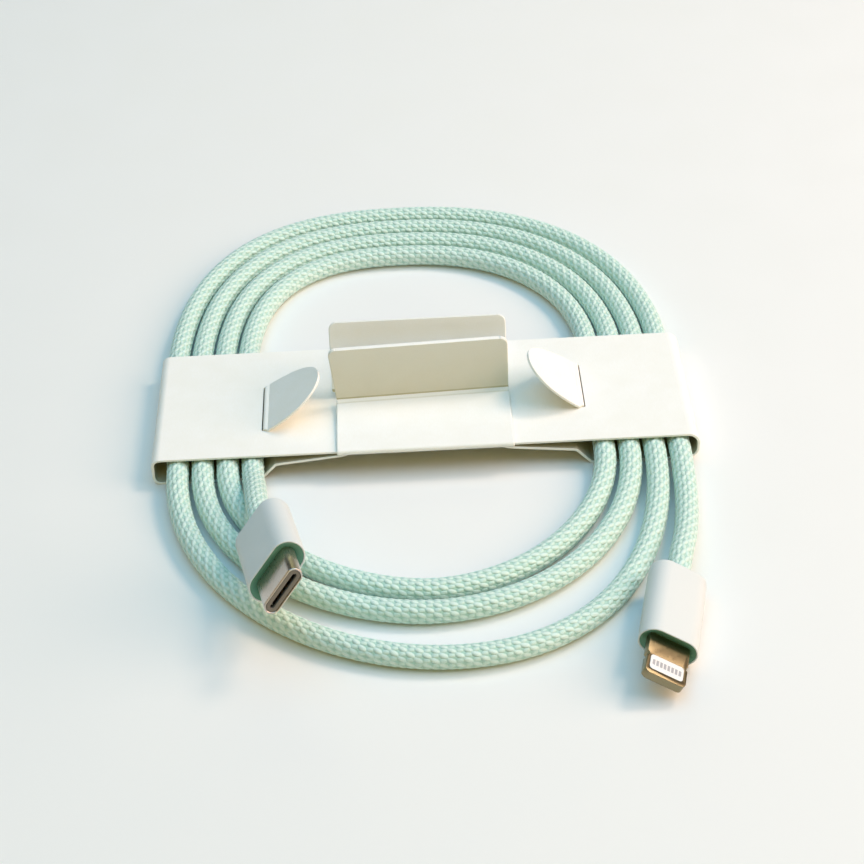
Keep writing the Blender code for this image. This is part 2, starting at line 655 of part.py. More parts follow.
make_band()
make_tongue("left_tongue", -1, LEFT_TONGUE_Y, LEFT_TONGUE_ANGLE)
make_tongue("right_tongue", 1, RIGHT_TONGUE_Y, RIGHT_TONGUE_ANGLE)
front_flap = make_flap("front_flap", -1)
make_fin("front_fin", front_flap, -1, FRONT_FIN_HEIGHT, 0.0, FRONT_FIN_LEAN)
rear_flap = make_flap("rear_flap", 1)
make_fin("rear_fin", rear_flap, 1, REAR_FIN_HEIGHT, REAR_FIN_SHIFT, REAR_FIN_LEAN)
make_oval_plug()
make_blade_plug()

coil = coil_points()
add_tube("cable_coil", coil, CABLE_D, 1, BRAID_MINT)
oval_lead = lead_points(coil[0], coil[1], OVAL_LEAD_MIDDLE, OVAL_PLACE, OVAL_TURN)
add_tube("oval_lead", oval_lead, CABLE_D, 2, BRAID_MINT)
blade_lead = lead_points(coil[-1], coil[-2], BLADE_LEAD_MIDDLE, BLADE_PLACE, BLADE_TURN)
add_tube("blade_lead", blade_lead, CABLE_D, 2, BRAID_MINT)

gap, length = least_gap(coil, CABLE_D)
print("Least gap between turns of the coil: %.2f mm" % (gap / MM))
print("Cable in the coil: %.0f mm" % (length / MM))
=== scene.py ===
"""Looks of a braided charging cable that a folded card band holds in a flat coil.

Metres, +Z up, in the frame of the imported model: the origin is on the table under the middle of
the band, +X runs along the band and +Y towards the back of the coil.
"""
import math

import bmesh
import bpy
import numpy as np
from bpy.props import FloatProperty, FloatVectorProperty, IntProperty, PointerProperty
from mathutils import Euler, Matrix, Vector


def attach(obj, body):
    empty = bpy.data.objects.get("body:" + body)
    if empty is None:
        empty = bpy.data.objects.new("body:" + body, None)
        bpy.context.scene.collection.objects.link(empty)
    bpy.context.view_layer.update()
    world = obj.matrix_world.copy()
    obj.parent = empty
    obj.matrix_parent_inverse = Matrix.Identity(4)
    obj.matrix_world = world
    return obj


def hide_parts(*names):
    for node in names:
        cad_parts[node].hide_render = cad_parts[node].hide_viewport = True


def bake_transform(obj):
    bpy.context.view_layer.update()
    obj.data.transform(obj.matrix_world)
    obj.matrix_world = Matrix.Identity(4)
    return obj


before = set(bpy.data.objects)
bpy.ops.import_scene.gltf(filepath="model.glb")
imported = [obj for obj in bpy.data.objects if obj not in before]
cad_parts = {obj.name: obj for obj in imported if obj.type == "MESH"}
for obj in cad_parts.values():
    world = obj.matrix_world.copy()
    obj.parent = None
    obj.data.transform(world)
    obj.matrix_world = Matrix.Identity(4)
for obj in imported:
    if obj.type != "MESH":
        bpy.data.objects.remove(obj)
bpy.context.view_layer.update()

bl_info = {
    "name": "Charging cable in a card band",
    "version": (1, 0, 0),
    "blender": (4, 5, 0),
    "location": "3D View > Sidebar > Cable",
    "description": "Makes the braided cable, its card band, its two plugs and a studio stage",
    "category": "Object",
}

MM = 0.001

# Cable and its coil: the solids' sizes, and the weave
CABLE_D = 3.75 * MM
STRAND_GAP = 0.50 * MM
TABLE_GAP = 0.11 * MM
PASSES = 4
INNER_PASS_X = 30.4 * MM
LEFT_SKEW = 0.9 * MM
BACK_REACH = 49.8 * MM
BACK_STEP = 4.75 * MM
BACK_LEAN = -2.6 * MM
BACK_ROUNDNESS = 2.35
FRONT_REACH = 47.1 * MM
FRONT_STEP = 5.0 * MM
FRONT_LEAN = 1.7 * MM
FRONT_ROUNDNESS = 1.85
FRONT_ROUNDNESS_STEP = 0.1
SLACK_REACH = 5.2 * MM
SLACK_LEAN = 3.1 * MM
SOLID_ARC_STEPS = 11
ARC_STEPS = 120
OVAL_LEAD_MIDDLE = [Vector((-28.8, -22.0, 4.0)) * MM, Vector((-28.2, -28.0, 6.3)) * MM]
BLADE_LEAD_MIDDLE = [Vector((42.6, -28.0, 1.95)) * MM, Vector((41.3, -36.5, 2.5)) * MM]
LEAD_STRAIGHT = 2.8 * MM
LEAD_SPACING = 0.5 * MM
CABLE_INSET = 0.6 * MM
ROUTE_SOFTENING = 1.5 * MM
OVER_WIDE = 0.36
OVER_LONG = 0.64
UNDER_WIDE = 0.36
UNDER_LONG = 0.44
UNDER_LEVEL = 0.75
BRAID_MEAN = 0.47

# Card band: the solids' sizes, and the finer folds, edges, score lines and painted shade
FIT = 0.30 * MM
CARD = 0.45 * MM
BAND_DEPTH = 30.0 * MM
RAMP_FOOT = 2.3 * MM
RAMP_RUN = 2.6 * MM
RAMP_RISE = 2.8 * MM
FLAP_WIDTH = 30.1 * MM
FIN_WIDTH = 30.0 * MM
REAR_FIN_WIDTH = 30.7 * MM
FIN_CORNER = 1.3 * MM
CREASE_SPACING = 1.2 * MM
CREASE_RISE = 0.25 * MM
FRONT_FIN_HEIGHT = 10.2 * MM
REAR_FIN_HEIGHT = 12.5 * MM
REAR_FIN_SHIFT = -0.42 * MM
FRONT_FIN_LEAN = math.radians(5.5)
REAR_FIN_LEAN = math.radians(21.0)
TONGUE_LENGTH = 13.2 * MM
TONGUE_REACH = 11.6 * MM
TONGUE_INSET = 1.7 * MM
LEFT_TONGUE_Y = -2.0 * MM
RIGHT_TONGUE_Y = 0.2 * MM
LEFT_TONGUE_ANGLE = math.radians(38.0)
RIGHT_TONGUE_ANGLE = math.radians(43.0)
LEFT_TONGUE_SKEW = 1.0 * MM
RIGHT_TONGUE_SKEW = 1.8 * MM
TONGUE_SQUARENESS = 2.25
STRIP_WIDTH = 0.75 * MM
STRIP_LIFT = 0.03 * MM
STRIP_BEND = 0.26 * MM
ROOT_LENGTH = 12.3 * MM
ROOT_DEPTH = 1.2 * MM
SLIT_WIDTH = 0.72 * MM
SLIT_OFFSET = 0.06 * MM
SLIT_END_GAP = 0.12 * MM
SUPPORT = 0.06 * MM
TUCK_GAP = 0.04 * MM
TUCK_HALF = 11.5 * MM
WAIST_NARROW_FROM = 11.0 * MM
WAIST_NARROW_TO = 14.6 * MM
WAIST_DRAW_IN = 0.9 * MM
LIP_DROP = 0.50 * MM
LEAF_SWELL = 0.45 * MM
FOOT_RISE = 0.50 * MM
FOOT_RUN = 0.80 * MM
FLAP_REST = 0.06 * MM
FIN_CARD = 1.0 * MM
FIN_SCORE = 0.24 * MM
FOOT_LINE = 0.30 * MM
# Darkening of the score lines at a fin's foot and at the leaf's end: partly pressed card, partly painted
# crease shade
DEEP_SCORE_AND_SHADE = 1.4
FAINT_SCORE_AND_SHADE = 0.4
# Painted shade on the front fin's face, darkest at its foot
FRONT_FIN_PAINTED_SHADE = 0.68
FRONT_FIN_YAW = 0.045
FRONT_FIN_FLARE = 1.1 * MM
HINGE_INSET = 1.35 * MM
HINGE_MARGIN = 0.3 * MM
HINGE_SPACING = 0.15 * MM
BAND_SPACING = 0.8 * MM
EDGE_STEPS = 4
FOLD_STEP = math.radians(9.0)

# Plugs: the solids' sizes, and the finer edges
HOUSING_LENGTH = 17.0 * MM
HOLE_GAP = 0.1 * MM
HOLE_FLARE = 0.3 * MM
HOLE_CHAMFER = 0.15 * MM
HOLE_DEPTH = 2.0 * MM
CORE_INSET = 1.0 * MM
REAR_WALL = 2.2 * MM
FRONT_WALL = 3.4 * MM
FACE_FIT = 0.04 * MM
FACE_THICKNESS = 0.8 * MM
FACE_DISH = ((0.0, 0.16), (0.2, 0.24), (0.5, 0.5), (0.8, 0.85), (1.0, 1.0))
OVAL_WIDTH = 11.24 * MM
OVAL_THICKNESS = 5.46 * MM
SHELL_WIDTH = 8.34 * MM
SHELL_THICKNESS = 2.56 * MM
SHELL_WALL = 0.3 * MM
SHELL_NOSE = 6.6 * MM
SHELL_TAIL = 4.0 * MM
BLADE_BODY_WIDTH = 9.6 * MM
BLADE_BODY_THICKNESS = 5.3 * MM
BLADE_WIDTH = 6.7 * MM
BLADE_THICKNESS = 1.5 * MM
BLADE_NOSE = 6.65 * MM
BLADE_TAIL = 3.5 * MM
BLADE_CORNER = 0.9 * MM
WINDOW_WIDTH = 5.6 * MM
WINDOW_LENGTH = 3.0 * MM
WINDOW_SETBACK = 0.9 * MM
WINDOW_CORNER = 0.55 * MM
NOTCH_RADIUS = 0.5 * MM
NOTCH_DEPTH = 0.3 * MM
TROUGH_WIDTH = 4.9 * MM
TROUGH_LENGTH = 1.1 * MM
TROUGH_CORNER = 0.3 * MM
TROUGH_DEPTH = 0.02 * MM
WINDOW_GAP = 0.1 * MM
WINDOW_RISE = 0.015 * MM
WINDOW_BEVEL = 0.012 * MM
BLADE_BEVEL = 0.12 * MM
MOUTH_SETBACK = 0.12 * MM
MOUTH_DEPTH = 0.55 * MM
MOUTH_WIDTH = 6.5 * MM
MOUTH_HEIGHT = 0.62 * MM
MOUTH_FIT = 0.06 * MM
MOUTH_ROLL = 0.08 * MM
BLADE_HOUSING_FRONT = 0.7 * MM
OVAL_PLACE = Vector((-23.6, -53.75, 13.3)) * MM
OVAL_TURN = Euler((math.radians(-15.0), math.radians(-48.5), math.radians(11.0)), "YXZ")
BLADE_PLACE = Vector((34.5, -65.2, 3.8)) * MM
BLADE_TURN = Euler((0.0, math.radians(26.0), math.radians(-13.0)), "YXZ")

# Camera, fitted to the photograph
CAMERA_LOOK = Vector((1.25, -7.5, 2.6)) * MM
CAMERA_DISTANCE = 346.0 * MM
CAMERA_ELEVATION = math.radians(38.0)
CAMERA_AZIMUTH = math.radians(0.6)
CAMERA_ROLL = math.radians(2.5)
CAMERA_LENS = 83.33
SENSOR = 36.0

# Lamps, by name, place and size, and the floor, in metres
LAMPS = (
    ("key", (0.484, 0.209, 0.667), 0.2),
    ("sky", (0.0, 0.0, 1.2), 1.6),
    ("side", (0.8, -0.1, 0.5), 0.6),
    ("front", (0.0, -0.85, 0.5), 0.8),
    ("left", (-0.75, 0.05, 0.45), 0.6),
    ("rear", (0.0, 0.9, 0.5), 0.6),
)
FLOOR_HALF = 3.0

# Finish: the usual depth of grain, and angles in degrees from which an edge is a crease
FINE_GRAIN = 0.01 * MM
SHARP_ANGLE = 50.0
BEVEL_ANGLE = 40.0
BEVELLED_SHARP_ANGLE = 35.0

# Places worked out from the sizes
CABLE_R = CABLE_D / 2
PASS_PITCH = CABLE_D + STRAND_GAP
BAND_EDGE = BAND_DEPTH / 2
CABLE_Z = CABLE_R + TABLE_GAP
SLEEVE_Z = CARD + FIT + CABLE_R
BAND_HALF = INNER_PASS_X + (PASSES - 1) * PASS_PITCH + LEFT_SKEW + CABLE_R + FIT + CARD
BAND_TOP = 2 * CARD + 2 * FIT + CABLE_D
SLIT_X = INNER_PASS_X - CABLE_R - TONGUE_INSET
LEAF_Z = BAND_TOP + FLAP_REST + CARD / 2
CREASE_Z = BAND_TOP + FIT + CARD + CREASE_RISE
LIP_Y = BAND_EDGE + FIT + CARD / 2


def size_of(name, description, default, least):
    """Return a setting for a length, in metres."""
    return FloatProperty(name=name, description=description, default=default, min=least, unit="LENGTH")


def tint_of(name, description, default):
    """Return a setting for a colour."""
    return FloatVectorProperty(
        name=name, description=description, subtype="COLOR", default=default, min=0.0, max=1.0,
    )


def power_of(name, description, default):
    """Return a setting for the strength of a light."""
    return FloatProperty(name=name, description=description, default=default, min=0.0)


class CableSettings(bpy.types.PropertyGroup):
    """Sizes and colours of the braided cable"""
    braid_columns: IntProperty(
        name="Braid columns", description="Yarn crossings round the cable", default=14, min=6,
    )
    braid_row: size_of("Braid row", "Distance between rows of crossings along the cable", 1.22 * MM, 0.2 * MM)
    braid_relief: size_of("Braid relief", "Height of a yarn above the gaps between yarns", 0.15 * MM, 0.0)
    # Yarn colour follows the braid's height: the bright yarn is a painted highlight on the bead tops, the
    # quiet yarn the base colour, and the braid gap painted shade down between the yarns
    yarn_top_highlight: tint_of("Bright yarn", "Colour of the yarns that stand proud", (0.79, 0.98, 0.90))
    quiet_yarn: tint_of("Quiet yarn", "Colour of the yarns that lie lower", (0.53, 0.78, 0.68))
    braid_gap_shade: tint_of("Braid gap", "Colour deep between the yarns", (0.45, 0.71, 0.61))


class CardSettings(bpy.types.PropertyGroup):
    """Sizes and colours of the card band"""
    edge_radius: size_of("Edge radius", "Softness of the cut edges", 0.12 * MM, 0.01 * MM)
    fin_edge: size_of("Fin edge", "Softness of the edges of the flaps and fins", 0.21 * MM, 0.01 * MM)
    left_fold: size_of("Left fold", "Radius of the folds at the left end of the band", 1.5 * MM, 0.5 * MM)
    right_fold: size_of("Right fold", "Radius of the folds at the right end of the band", 2.1 * MM, 0.5 * MM)
    bend_radius: size_of("Bend radius", "Radius of the small bends in the card", 0.6 * MM, 0.2 * MM)
    colour: tint_of("Card", "Colour of the card's faces", (0.93, 0.935, 0.895))
    fleck: tint_of("Card fleck", "Colour of the card's darker fibres", (0.90, 0.90, 0.84))
    # The score line colour darkens the folds, partly as pressed card and partly as painted crease shade, and
    # also gives the front fin's face its painted shade
    score: tint_of("Score line", "Colour of the pressed lines where the card folds", (0.52, 0.48, 0.30))
    # The bare side colour is painted shade: a dark olive inside the sleeves, under the waist and on the hinge
    # strips
    bare: tint_of(
        "Bare side", "Colour of the card's uncoated side, inside the sleeves and under the waist",
        (0.47, 0.46, 0.34),
    )


class PlugSettings(bpy.types.PropertyGroup):
    """Sizes and colours of the two plugs"""
    rim_width: size_of("Rim width", "Width of the white rim round a plug's green face", 0.26 * MM, 0.05 * MM)
    rear_radius: size_of("Rear radius", "Roundness of a housing's cable end", 0.9 * MM, 0.1 * MM)
    face_depth: size_of("Face depth", "Depth of the dished green face next to the metal", 0.95 * MM, 0.0)
    housing: tint_of("Housing", "Colour of the moulded housings", (0.72, 0.77, 0.76))
    face: tint_of("Face", "Colour of the recessed front faces", (0.13, 0.33, 0.23))
    shell: tint_of("Shell", "Colour of the oval metal shell", (0.72, 0.66, 0.61))
    blade: tint_of("Blade", "Colour of the flat metal blade", (0.30, 0.26, 0.16))


class StageSettings(bpy.types.PropertyGroup):
    """Colours and strengths of the floor and the lights"""
    floor: tint_of("Floor", "Colour of the floor", (0.86, 0.87, 0.85))
    key: tint_of("Key light", "Colour of the small warm light from the back right", (1.0, 0.75, 0.58))
    key_power: power_of("Key power", "Power of the key light in watts", 2.52)
    sky: tint_of("Top light", "Colour of the broad cool light from above", (0.324, 0.687, 1.0))
    sky_power: power_of("Top power", "Power of the top light in watts", 13.4)
    side: tint_of("Side light", "Colour of the soft warm light from the right", (1.0, 0.718, 0.566))
    side_power: power_of("Side power", "Power of the side light in watts", 6.9)
    front: tint_of("Front light", "Colour of the weak yellow light from the front", (1.0, 0.786, 0.204))
    front_power: power_of("Front power", "Power of the front light in watts", 2.0)
    left: tint_of("Left light", "Colour of the weak warm light from the left", (1.0, 0.60, 0.12))
    left_power: power_of("Left power", "Power of the left light in watts", 1.0)
    rear: tint_of("Rear light", "Colour of the weak light from behind", (1.0, 0.96, 0.47))
    rear_power: power_of("Rear power", "Power of the rear light in watts", 0.75)
    room: tint_of("Room light", "Colour of the light from all round", (0.9, 1.0, 0.9))
    room_strength: power_of("Room strength", "Strength of the room light", 0.015)


def link_mesh(name, points, faces):
    """Make a named, smooth piece from points and faces, with its faces pointing out."""
    mesh = bpy.data.meshes.new(name)
    mesh.from_pydata([tuple(point) for point in points], [], faces)
    shape = bmesh.new()
    shape.from_mesh(mesh)
    bmesh.ops.recalc_face_normals(shape, faces=shape.faces)
    shape.to_mesh(mesh)
    shape.free()
    mesh.shade_smooth()
    piece = bpy.data.objects.new(name, mesh)
    bpy.context.collection.objects.link(piece)
    return piece


def skin(name, rings, through=False):
    """Skin a row of rings of points, either into a closed loop or with both ends capped."""
    rings = [list(ring) for ring in rings]
    rows = len(rings)
    count = len(rings[0])
    faces = []
    for row in range(rows if through else rows - 1):
        here = row * count
        there = (row + 1) % rows * count
        for k in range(count):
            n = (k + 1) % count
            faces.append((here + k, here + n, there + n, there + k))
    if not through:
        faces.append(tuple(range(count)))
        faces.append(tuple(range((rows - 1) * count, rows * count)))
    return link_mesh(name, [point for ring in rings for point in ring], faces)


def cut(piece, cutter):
    """Cut one piece out of another and remove the cutter."""
    modifier = piece.modifiers.new("cut", "BOOLEAN")
    modifier.operation = "DIFFERENCE"
    modifier.solver = "EXACT"
    modifier.object = cutter
    settled = piece.evaluated_get(bpy.context.evaluated_depsgraph_get())
    whole = piece.data
    piece.data = bpy.data.meshes.new_from_object(settled)
    piece.modifiers.clear()
    bpy.data.meshes.remove(whole)
    bpy.data.objects.remove(cutter, do_unlink=True)


def keep_creases(piece, degrees=SHARP_ANGLE):
    """Shade a piece smooth, apart from edges sharper than an angle."""
    piece.data.shade_smooth()
    piece.data.set_sharp_from_angle(angle=math.radians(degrees))


def node(tree, kind, settings=None, **values):
    """Add a shader node, set it up, and link or set its inputs by name."""
    made = tree.nodes.new("ShaderNode" + kind)
    for name, value in (settings or {}).items():
        setattr(made, name, value)
    for name, value in values.items():
        join(tree, value, made.inputs[name.replace("_", " ")])
    return made


def join(tree, value, socket):
    """Link an output to a socket, or set the socket to a plain value."""
    if isinstance(value, bpy.types.NodeSocket):
        tree.links.new(value, socket)
    else:
        socket.default_value = value


def maths(tree, operation, *values):
    """Add a math node and return its result."""
    made = tree.nodes.new("ShaderNodeMath")
    made.operation = operation
    for value, socket in zip(values, made.inputs):
        join(tree, value, socket)
    return made.outputs[0]


def mix(tree, share, first, second):
    """Add a node that mixes two colours and return its result."""
    made = tree.nodes.new("ShaderNodeMix")
    made.data_type = "RGBA"
    join(tree, share, made.inputs[0])
    for value, socket in ((first, made.inputs[6]), (second, made.inputs[7])):
        join(tree, value if isinstance(value, bpy.types.NodeSocket) else (*value, 1.0), socket)
    return made.outputs[2]


def noise(tree, where, scale, detail=3.0):
    """Add a noise texture over a set of coordinates and return its value."""
    return node(tree, "TexNoise", Vector=where, Scale=scale, Detail=detail).outputs["Fac"]


def new_finish(name, roughness, metallic=0.0):
    """Start a material and return it, its node tree and its shader."""
    finish = bpy.data.materials.new(name)
    finish.use_nodes = True
    tree = finish.node_tree
    shader = tree.nodes["Principled BSDF"]
    shader.inputs["Roughness"].default_value = roughness
    shader.inputs["Metallic"].default_value = metallic
    return finish, tree, shader


def add_bump(tree, shader, height, strength, distance):
    """Give a shader a bump from a height."""
    bump = node(tree, "Bump", Height=height, Strength=strength, Distance=distance)
    tree.links.new(bump.outputs["Normal"], shader.inputs["Normal"])


def object_place(tree):
    """Return coordinates that are fixed to the piece, in metres."""
    return node(tree, "TexCoord").outputs["Object"]


def speckled_finish(name, colour, second, roughness, grain, depth=FINE_GRAIN, metallic=0.0):
    """Return a finish of two close colours with a fine grain in colour, gloss and relief."""
    finish, tree, shader = new_finish(name, roughness, metallic)
    where = object_place(tree)
    fine = noise(tree, where, grain)
    broad = noise(tree, where, grain / 12, 2.0)
    share = maths(tree, "MULTIPLY", maths(tree, "ADD", fine, broad), 0.5)
    join(tree, mix(tree, share, colour, second), shader.inputs["Base Color"])
    gloss = node(tree, "MapRange", Value=broad, From_Min=0.3, From_Max=0.7,
                 To_Min=roughness * 0.85, To_Max=roughness * 1.15)
    join(tree, gloss.outputs[0], shader.inputs["Roughness"])
    add_bump(tree, shader, fine, 0.35, depth)
    return finish


def brushed_metal(name, colour, roughness, turn):
    """Return a metal finish with fine drawn lines along a plug's axis."""
    finish, tree, shader = new_finish(name, roughness, 1.0)
    back = turn.to_matrix().inverted().to_euler("XYZ")
    where = node(tree, "Mapping", {"vector_type": "POINT"}, Vector=object_place(tree), Rotation=back)
    drawn = node(tree, "Mapping", Vector=where.outputs[0], Scale=(1.0, 0.08, 1.0))
    lines = noise(tree, drawn.outputs[0], 9000.0)
    stain = noise(tree, where.outputs[0], 900.0)
    darker = [0.92 * part for part in colour]
    join(tree, mix(tree, stain, darker, colour), shader.inputs["Base Color"])
    gloss = node(tree, "MapRange", Value=lines, From_Min=0.3, From_Max=0.7,
                 To_Min=roughness * 0.85, To_Max=roughness * 1.2)
    join(tree, gloss.outputs[0], shader.inputs["Roughness"])
    add_bump(tree, shader, lines, 0.05, FINE_GRAIN)
    return finish


def white_card(settings):
    """Return the card's finish: matt, with soft mottling and fine paper fibres, and with painted shade in its
    creases, sleeves and waist and on the front fin's face.
    """
    finish, tree, shader = new_finish("white_card", 0.7)
    shader.inputs["Specular IOR Level"].default_value = 0.35
    where = object_place(tree)
    mottle = noise(tree, where, 220.0, 4.0)
    stretched = node(tree, "Mapping", Vector=where, Scale=(1.0, 0.25, 1.0))
    fibre = noise(tree, stretched.outputs[0], 5200.0, 5.0)
    tooth = noise(tree, where, 9000.0, 2.0)
    share = maths(tree, "MULTIPLY", mottle, fibre)
    patchy = node(tree, "MapRange", Value=share, From_Min=0.12, From_Max=0.42)
    paper = mix(tree, patchy.outputs[0], settings.fleck, settings.colour)
    # Score lines darken partly as painted crease shade; the front fin's face takes painted shade through the
    # same attribute
    score_and_shade_level = node(tree, "Attribute", {"attribute_name": "score"}).outputs["Fac"]
    score_and_shade_mix = maths(tree, "MULTIPLY", score_and_shade_level, maths(tree, "MULTIPLY_ADD", mottle, 0.4, 0.55))
    # Painted shade: a dark olive inside the sleeves, under the waist and on the hinge strips
    inner_shade_level = node(tree, "Attribute", {"attribute_name": "bare"}).outputs["Fac"]
    paper = mix(tree, inner_shade_level, paper, settings.bare)
    join(tree, mix(tree, score_and_shade_mix, paper, settings.score), shader.inputs["Base Color"])
    add_bump(tree, shader, maths(tree, "ADD", fibre, tooth), 0.25, 0.02 * MM)
    return finish


def braid_height(p, q):
    """Return how high the braid stands, from 0 to 1, at points of its lattice of crossings.

    Along every column, a slanted bead of one set of yarns takes turns with a lower bead of the
    other set, which slants the other way.
    """
    cross = ((p + q + 1) % 2 - 1) / 2
    along = ((p - q + 1) % 2 - 1) / 2
    over = 1 - (cross / OVER_WIDE) ** 2 - (along / OVER_LONG) ** 2
    under = 1 - ((0.5 - np.abs(along)) / UNDER_WIDE) ** 2 - ((0.5 - np.abs(cross)) / UNDER_LONG) ** 2
    return np.maximum(np.clip(over, 0, 1), UNDER_LEVEL * np.clip(under, 0, 1))


def turn_of(tree, value):
    """Return the distance of a lattice value from the nearest even number, as a share of two."""
    wrapped = maths(tree, "FLOORED_MODULO", maths(tree, "ADD", value, 1.0), 2.0)
    return maths(tree, "MULTIPLY_ADD", wrapped, 0.5, -0.5)


def bead_round(tree, across, wide, along, long):
    """Return a bead's round height over the distances from its middle."""
    x = maths(tree, "POWER", maths(tree, "DIVIDE", maths(tree, "ABSOLUTE", across), wide), 2.0)
    y = maths(tree, "POWER", maths(tree, "DIVIDE", maths(tree, "ABSOLUTE", along), long), 2.0)
    left = maths(tree, "SUBTRACT", 1.0, maths(tree, "ADD", x, y))
    return maths(tree, "MAXIMUM", left, 0.0)


def mint_braid(settings):
    """Return the cable's finish: beads of two sets of yarns and their fine filaments, with a painted
    highlight on the bead tops and painted shade between the yarns.
    """
    finish, tree, shader = new_finish("mint_braid", 0.55)
    shader.inputs["Specular IOR Level"].default_value = 0.45
    shader.inputs["Sheen Weight"].default_value = 0.25
    shader.inputs["Sheen Roughness"].default_value = 0.5
    shader.inputs["Sheen Tint"].default_value = (0.85, 1.0, 0.94, 1.0)
    lattice = node(tree, "UVMap", {"uv_map": "Braid"}).outputs[0]
    split = node(tree, "SeparateXYZ", Vector=lattice)
    cross = turn_of(tree, maths(tree, "ADD", split.outputs[0], split.outputs[1]))
    along = turn_of(tree, maths(tree, "SUBTRACT", split.outputs[0], split.outputs[1]))
    over = bead_round(tree, cross, OVER_WIDE, along, OVER_LONG)
    beside = maths(tree, "SUBTRACT", 0.5, maths(tree, "ABSOLUTE", along))
    beyond = maths(tree, "SUBTRACT", 0.5, maths(tree, "ABSOLUTE", cross))
    under = bead_round(tree, beside, UNDER_WIDE, beyond, UNDER_LONG)
    lower = maths(tree, "MULTIPLY", under, UNDER_LEVEL)
    height = maths(tree, "MAXIMUM", over, lower)
    fuzz = noise(tree, lattice, 9.0, 4.0)
    patch = noise(tree, lattice, 0.9, 2.0)
    on_top = maths(tree, "GREATER_THAN", over, lower)
    lane = maths(tree, "MULTIPLY_ADD", on_top, maths(tree, "SUBTRACT", cross, along), along)
    ripple = maths(tree, "MULTIPLY_ADD", lane, 46.0, maths(tree, "MULTIPLY", fuzz, 5.0))
    strands = maths(tree, "SINE", ripple)
    strands = maths(tree, "MULTIPLY", strands, height)
    # Painted highlight: each yarn lightens with the height of its bead, the lower beads less
    over_highlight = maths(tree, "POWER", over, 1.3)
    under_highlight = maths(tree, "MULTIPLY", maths(tree, "POWER", under, 1.3), 0.5)
    tone = maths(tree, "MAXIMUM", over_highlight, under_highlight)
    tone = maths(tree, "MULTIPLY", tone, maths(tree, "MULTIPLY_ADD", patch, 0.5, 0.75))
    tone = maths(tree, "MULTIPLY_ADD", strands, 0.10, maths(tree, "MULTIPLY_ADD", fuzz, 0.25, tone))
    highlight_share = node(tree, "MapRange", Value=tone, From_Min=0.1, From_Max=0.95)
    yarn = mix(tree, highlight_share.outputs[0], settings.quiet_yarn, settings.yarn_top_highlight)
    # Painted shade: the gap colour fills the low places between the yarns
    clear_of_gap_shade = node(tree, "MapRange", {"interpolation_type": "SMOOTHSTEP"},
                 Value=height, From_Min=0.0, From_Max=0.30)
    join(tree, mix(tree, clear_of_gap_shade.outputs[0], settings.braid_gap_shade, yarn), shader.inputs["Base Color"])
    relief = maths(tree, "MULTIPLY_ADD", strands, 0.08, height)
    add_bump(tree, shader, relief, 1.0, settings.braid_relief * 1.7)
    return finish


def half_turn(x_from, x_to, reach, side, roundness, lean):
    """Return the route of one half turn of cable beyond the band's front or back edge."""
    share = np.linspace(0.0, 1.0, ARC_STEPS + 1)
    angle = np.pi * share
    across = np.sign(np.cos(angle)) * np.abs(np.cos(angle)) ** (2 / roundness)
    along = np.abs(np.sin(angle)) ** (2 / roundness)
    along[[0, -1]] = 0.0
    settled = math.sin(math.pi / SOLID_ARC_STEPS) ** (2 / roundness)
    lift = np.clip(1 - along / settled, 0, 1)
    x = (x_from + x_to) / 2 + (x_from - x_to) / 2 * across + lean * along ** 2
    y = side * (BAND_EDGE + (reach - BAND_EDGE) * along)
    z = CABLE_Z + (SLEEVE_Z - CABLE_Z) * lift ** 2 * (3 - 2 * lift)
    return np.stack([x, y, z], axis=1)


def coil_route():
    """Return the coil's route, from the innermost pass on the left to the outermost on the right."""
    passes = [INNER_PASS_X + k * PASS_PITCH for k in range(PASSES)]
    route = [[[LEFT_SKEW - passes[0], -BAND_EDGE, SLEEVE_Z]]]
    for k, x in enumerate(passes):
        back = BACK_REACH + k * BACK_STEP
        route.append(half_turn(-x - LEFT_SKEW, x, back, 1, BACK_ROUNDNESS, BACK_LEAN))
        if k < PASSES - 1:
            last = k == PASSES - 2
            reach = FRONT_REACH + k * FRONT_STEP + (SLACK_REACH if last else 0.0)
            lean = FRONT_LEAN + (SLACK_LEAN if last else 0.0)
            roundness = FRONT_ROUNDNESS + k * FRONT_ROUNDNESS_STEP
            route.append(half_turn(x, LEFT_SKEW - passes[k + 1], reach, -1, roundness, lean))
    route.append([[passes[-1], -BAND_EDGE, SLEEVE_Z]])
    return np.concatenate(route)


def plug_axis(place, turn, y):
    """Return the point at a distance behind a plug's mouth, on its axis."""
    return place + turn.to_matrix() @ Vector((0.0, y, 0.0))


def smooth_route(points, spacing):
    """Read points off one smooth curve through a route, keeping its straight ends."""
    route = [points[0], points[1]]
    for k in range(1, len(points) - 2):
        before, start, end, after = points[k - 1:k + 3]
        count = max(1, round((end - start).length / spacing))
        for n in range(1, count + 1):
            t = n / count
            pull = (end - before) * (t - 2 * t ** 2 + t ** 3) / 2
            push = (after - start) * (t ** 3 - t ** 2) / 2
            route.append(start.lerp(end, 3 * t ** 2 - 2 * t ** 3) + pull + push)
    route.append(points[-1])
    return route


def lead_route(coil_end, onward, middle, place, turn):
    """Return a free lead's route from the band's edge into the back of its plug."""
    start = Vector(coil_end)
    square = start + Vector(onward).normalized() * LEAD_STRAIGHT
    near = plug_axis(place, turn, HOUSING_LENGTH + FIT + CABLE_D)
    end = plug_axis(place, turn, HOUSING_LENGTH - CABLE_INSET)
    return np.array(smooth_route([start, square, *middle, near, end], LEAD_SPACING))[1:]


def even_route(points, spacing):
    """Return points at even steps along a route."""
    steps = np.linalg.norm(np.diff(points, axis=0), axis=1)
    reached = np.concatenate([[0.0], np.cumsum(steps)])
    count = round(reached[-1] / spacing)
    marks = np.linspace(0.0, reached[-1], count + 1)
    return np.stack([np.interp(marks, reached, points[:, axis]) for axis in range(3)], axis=1)


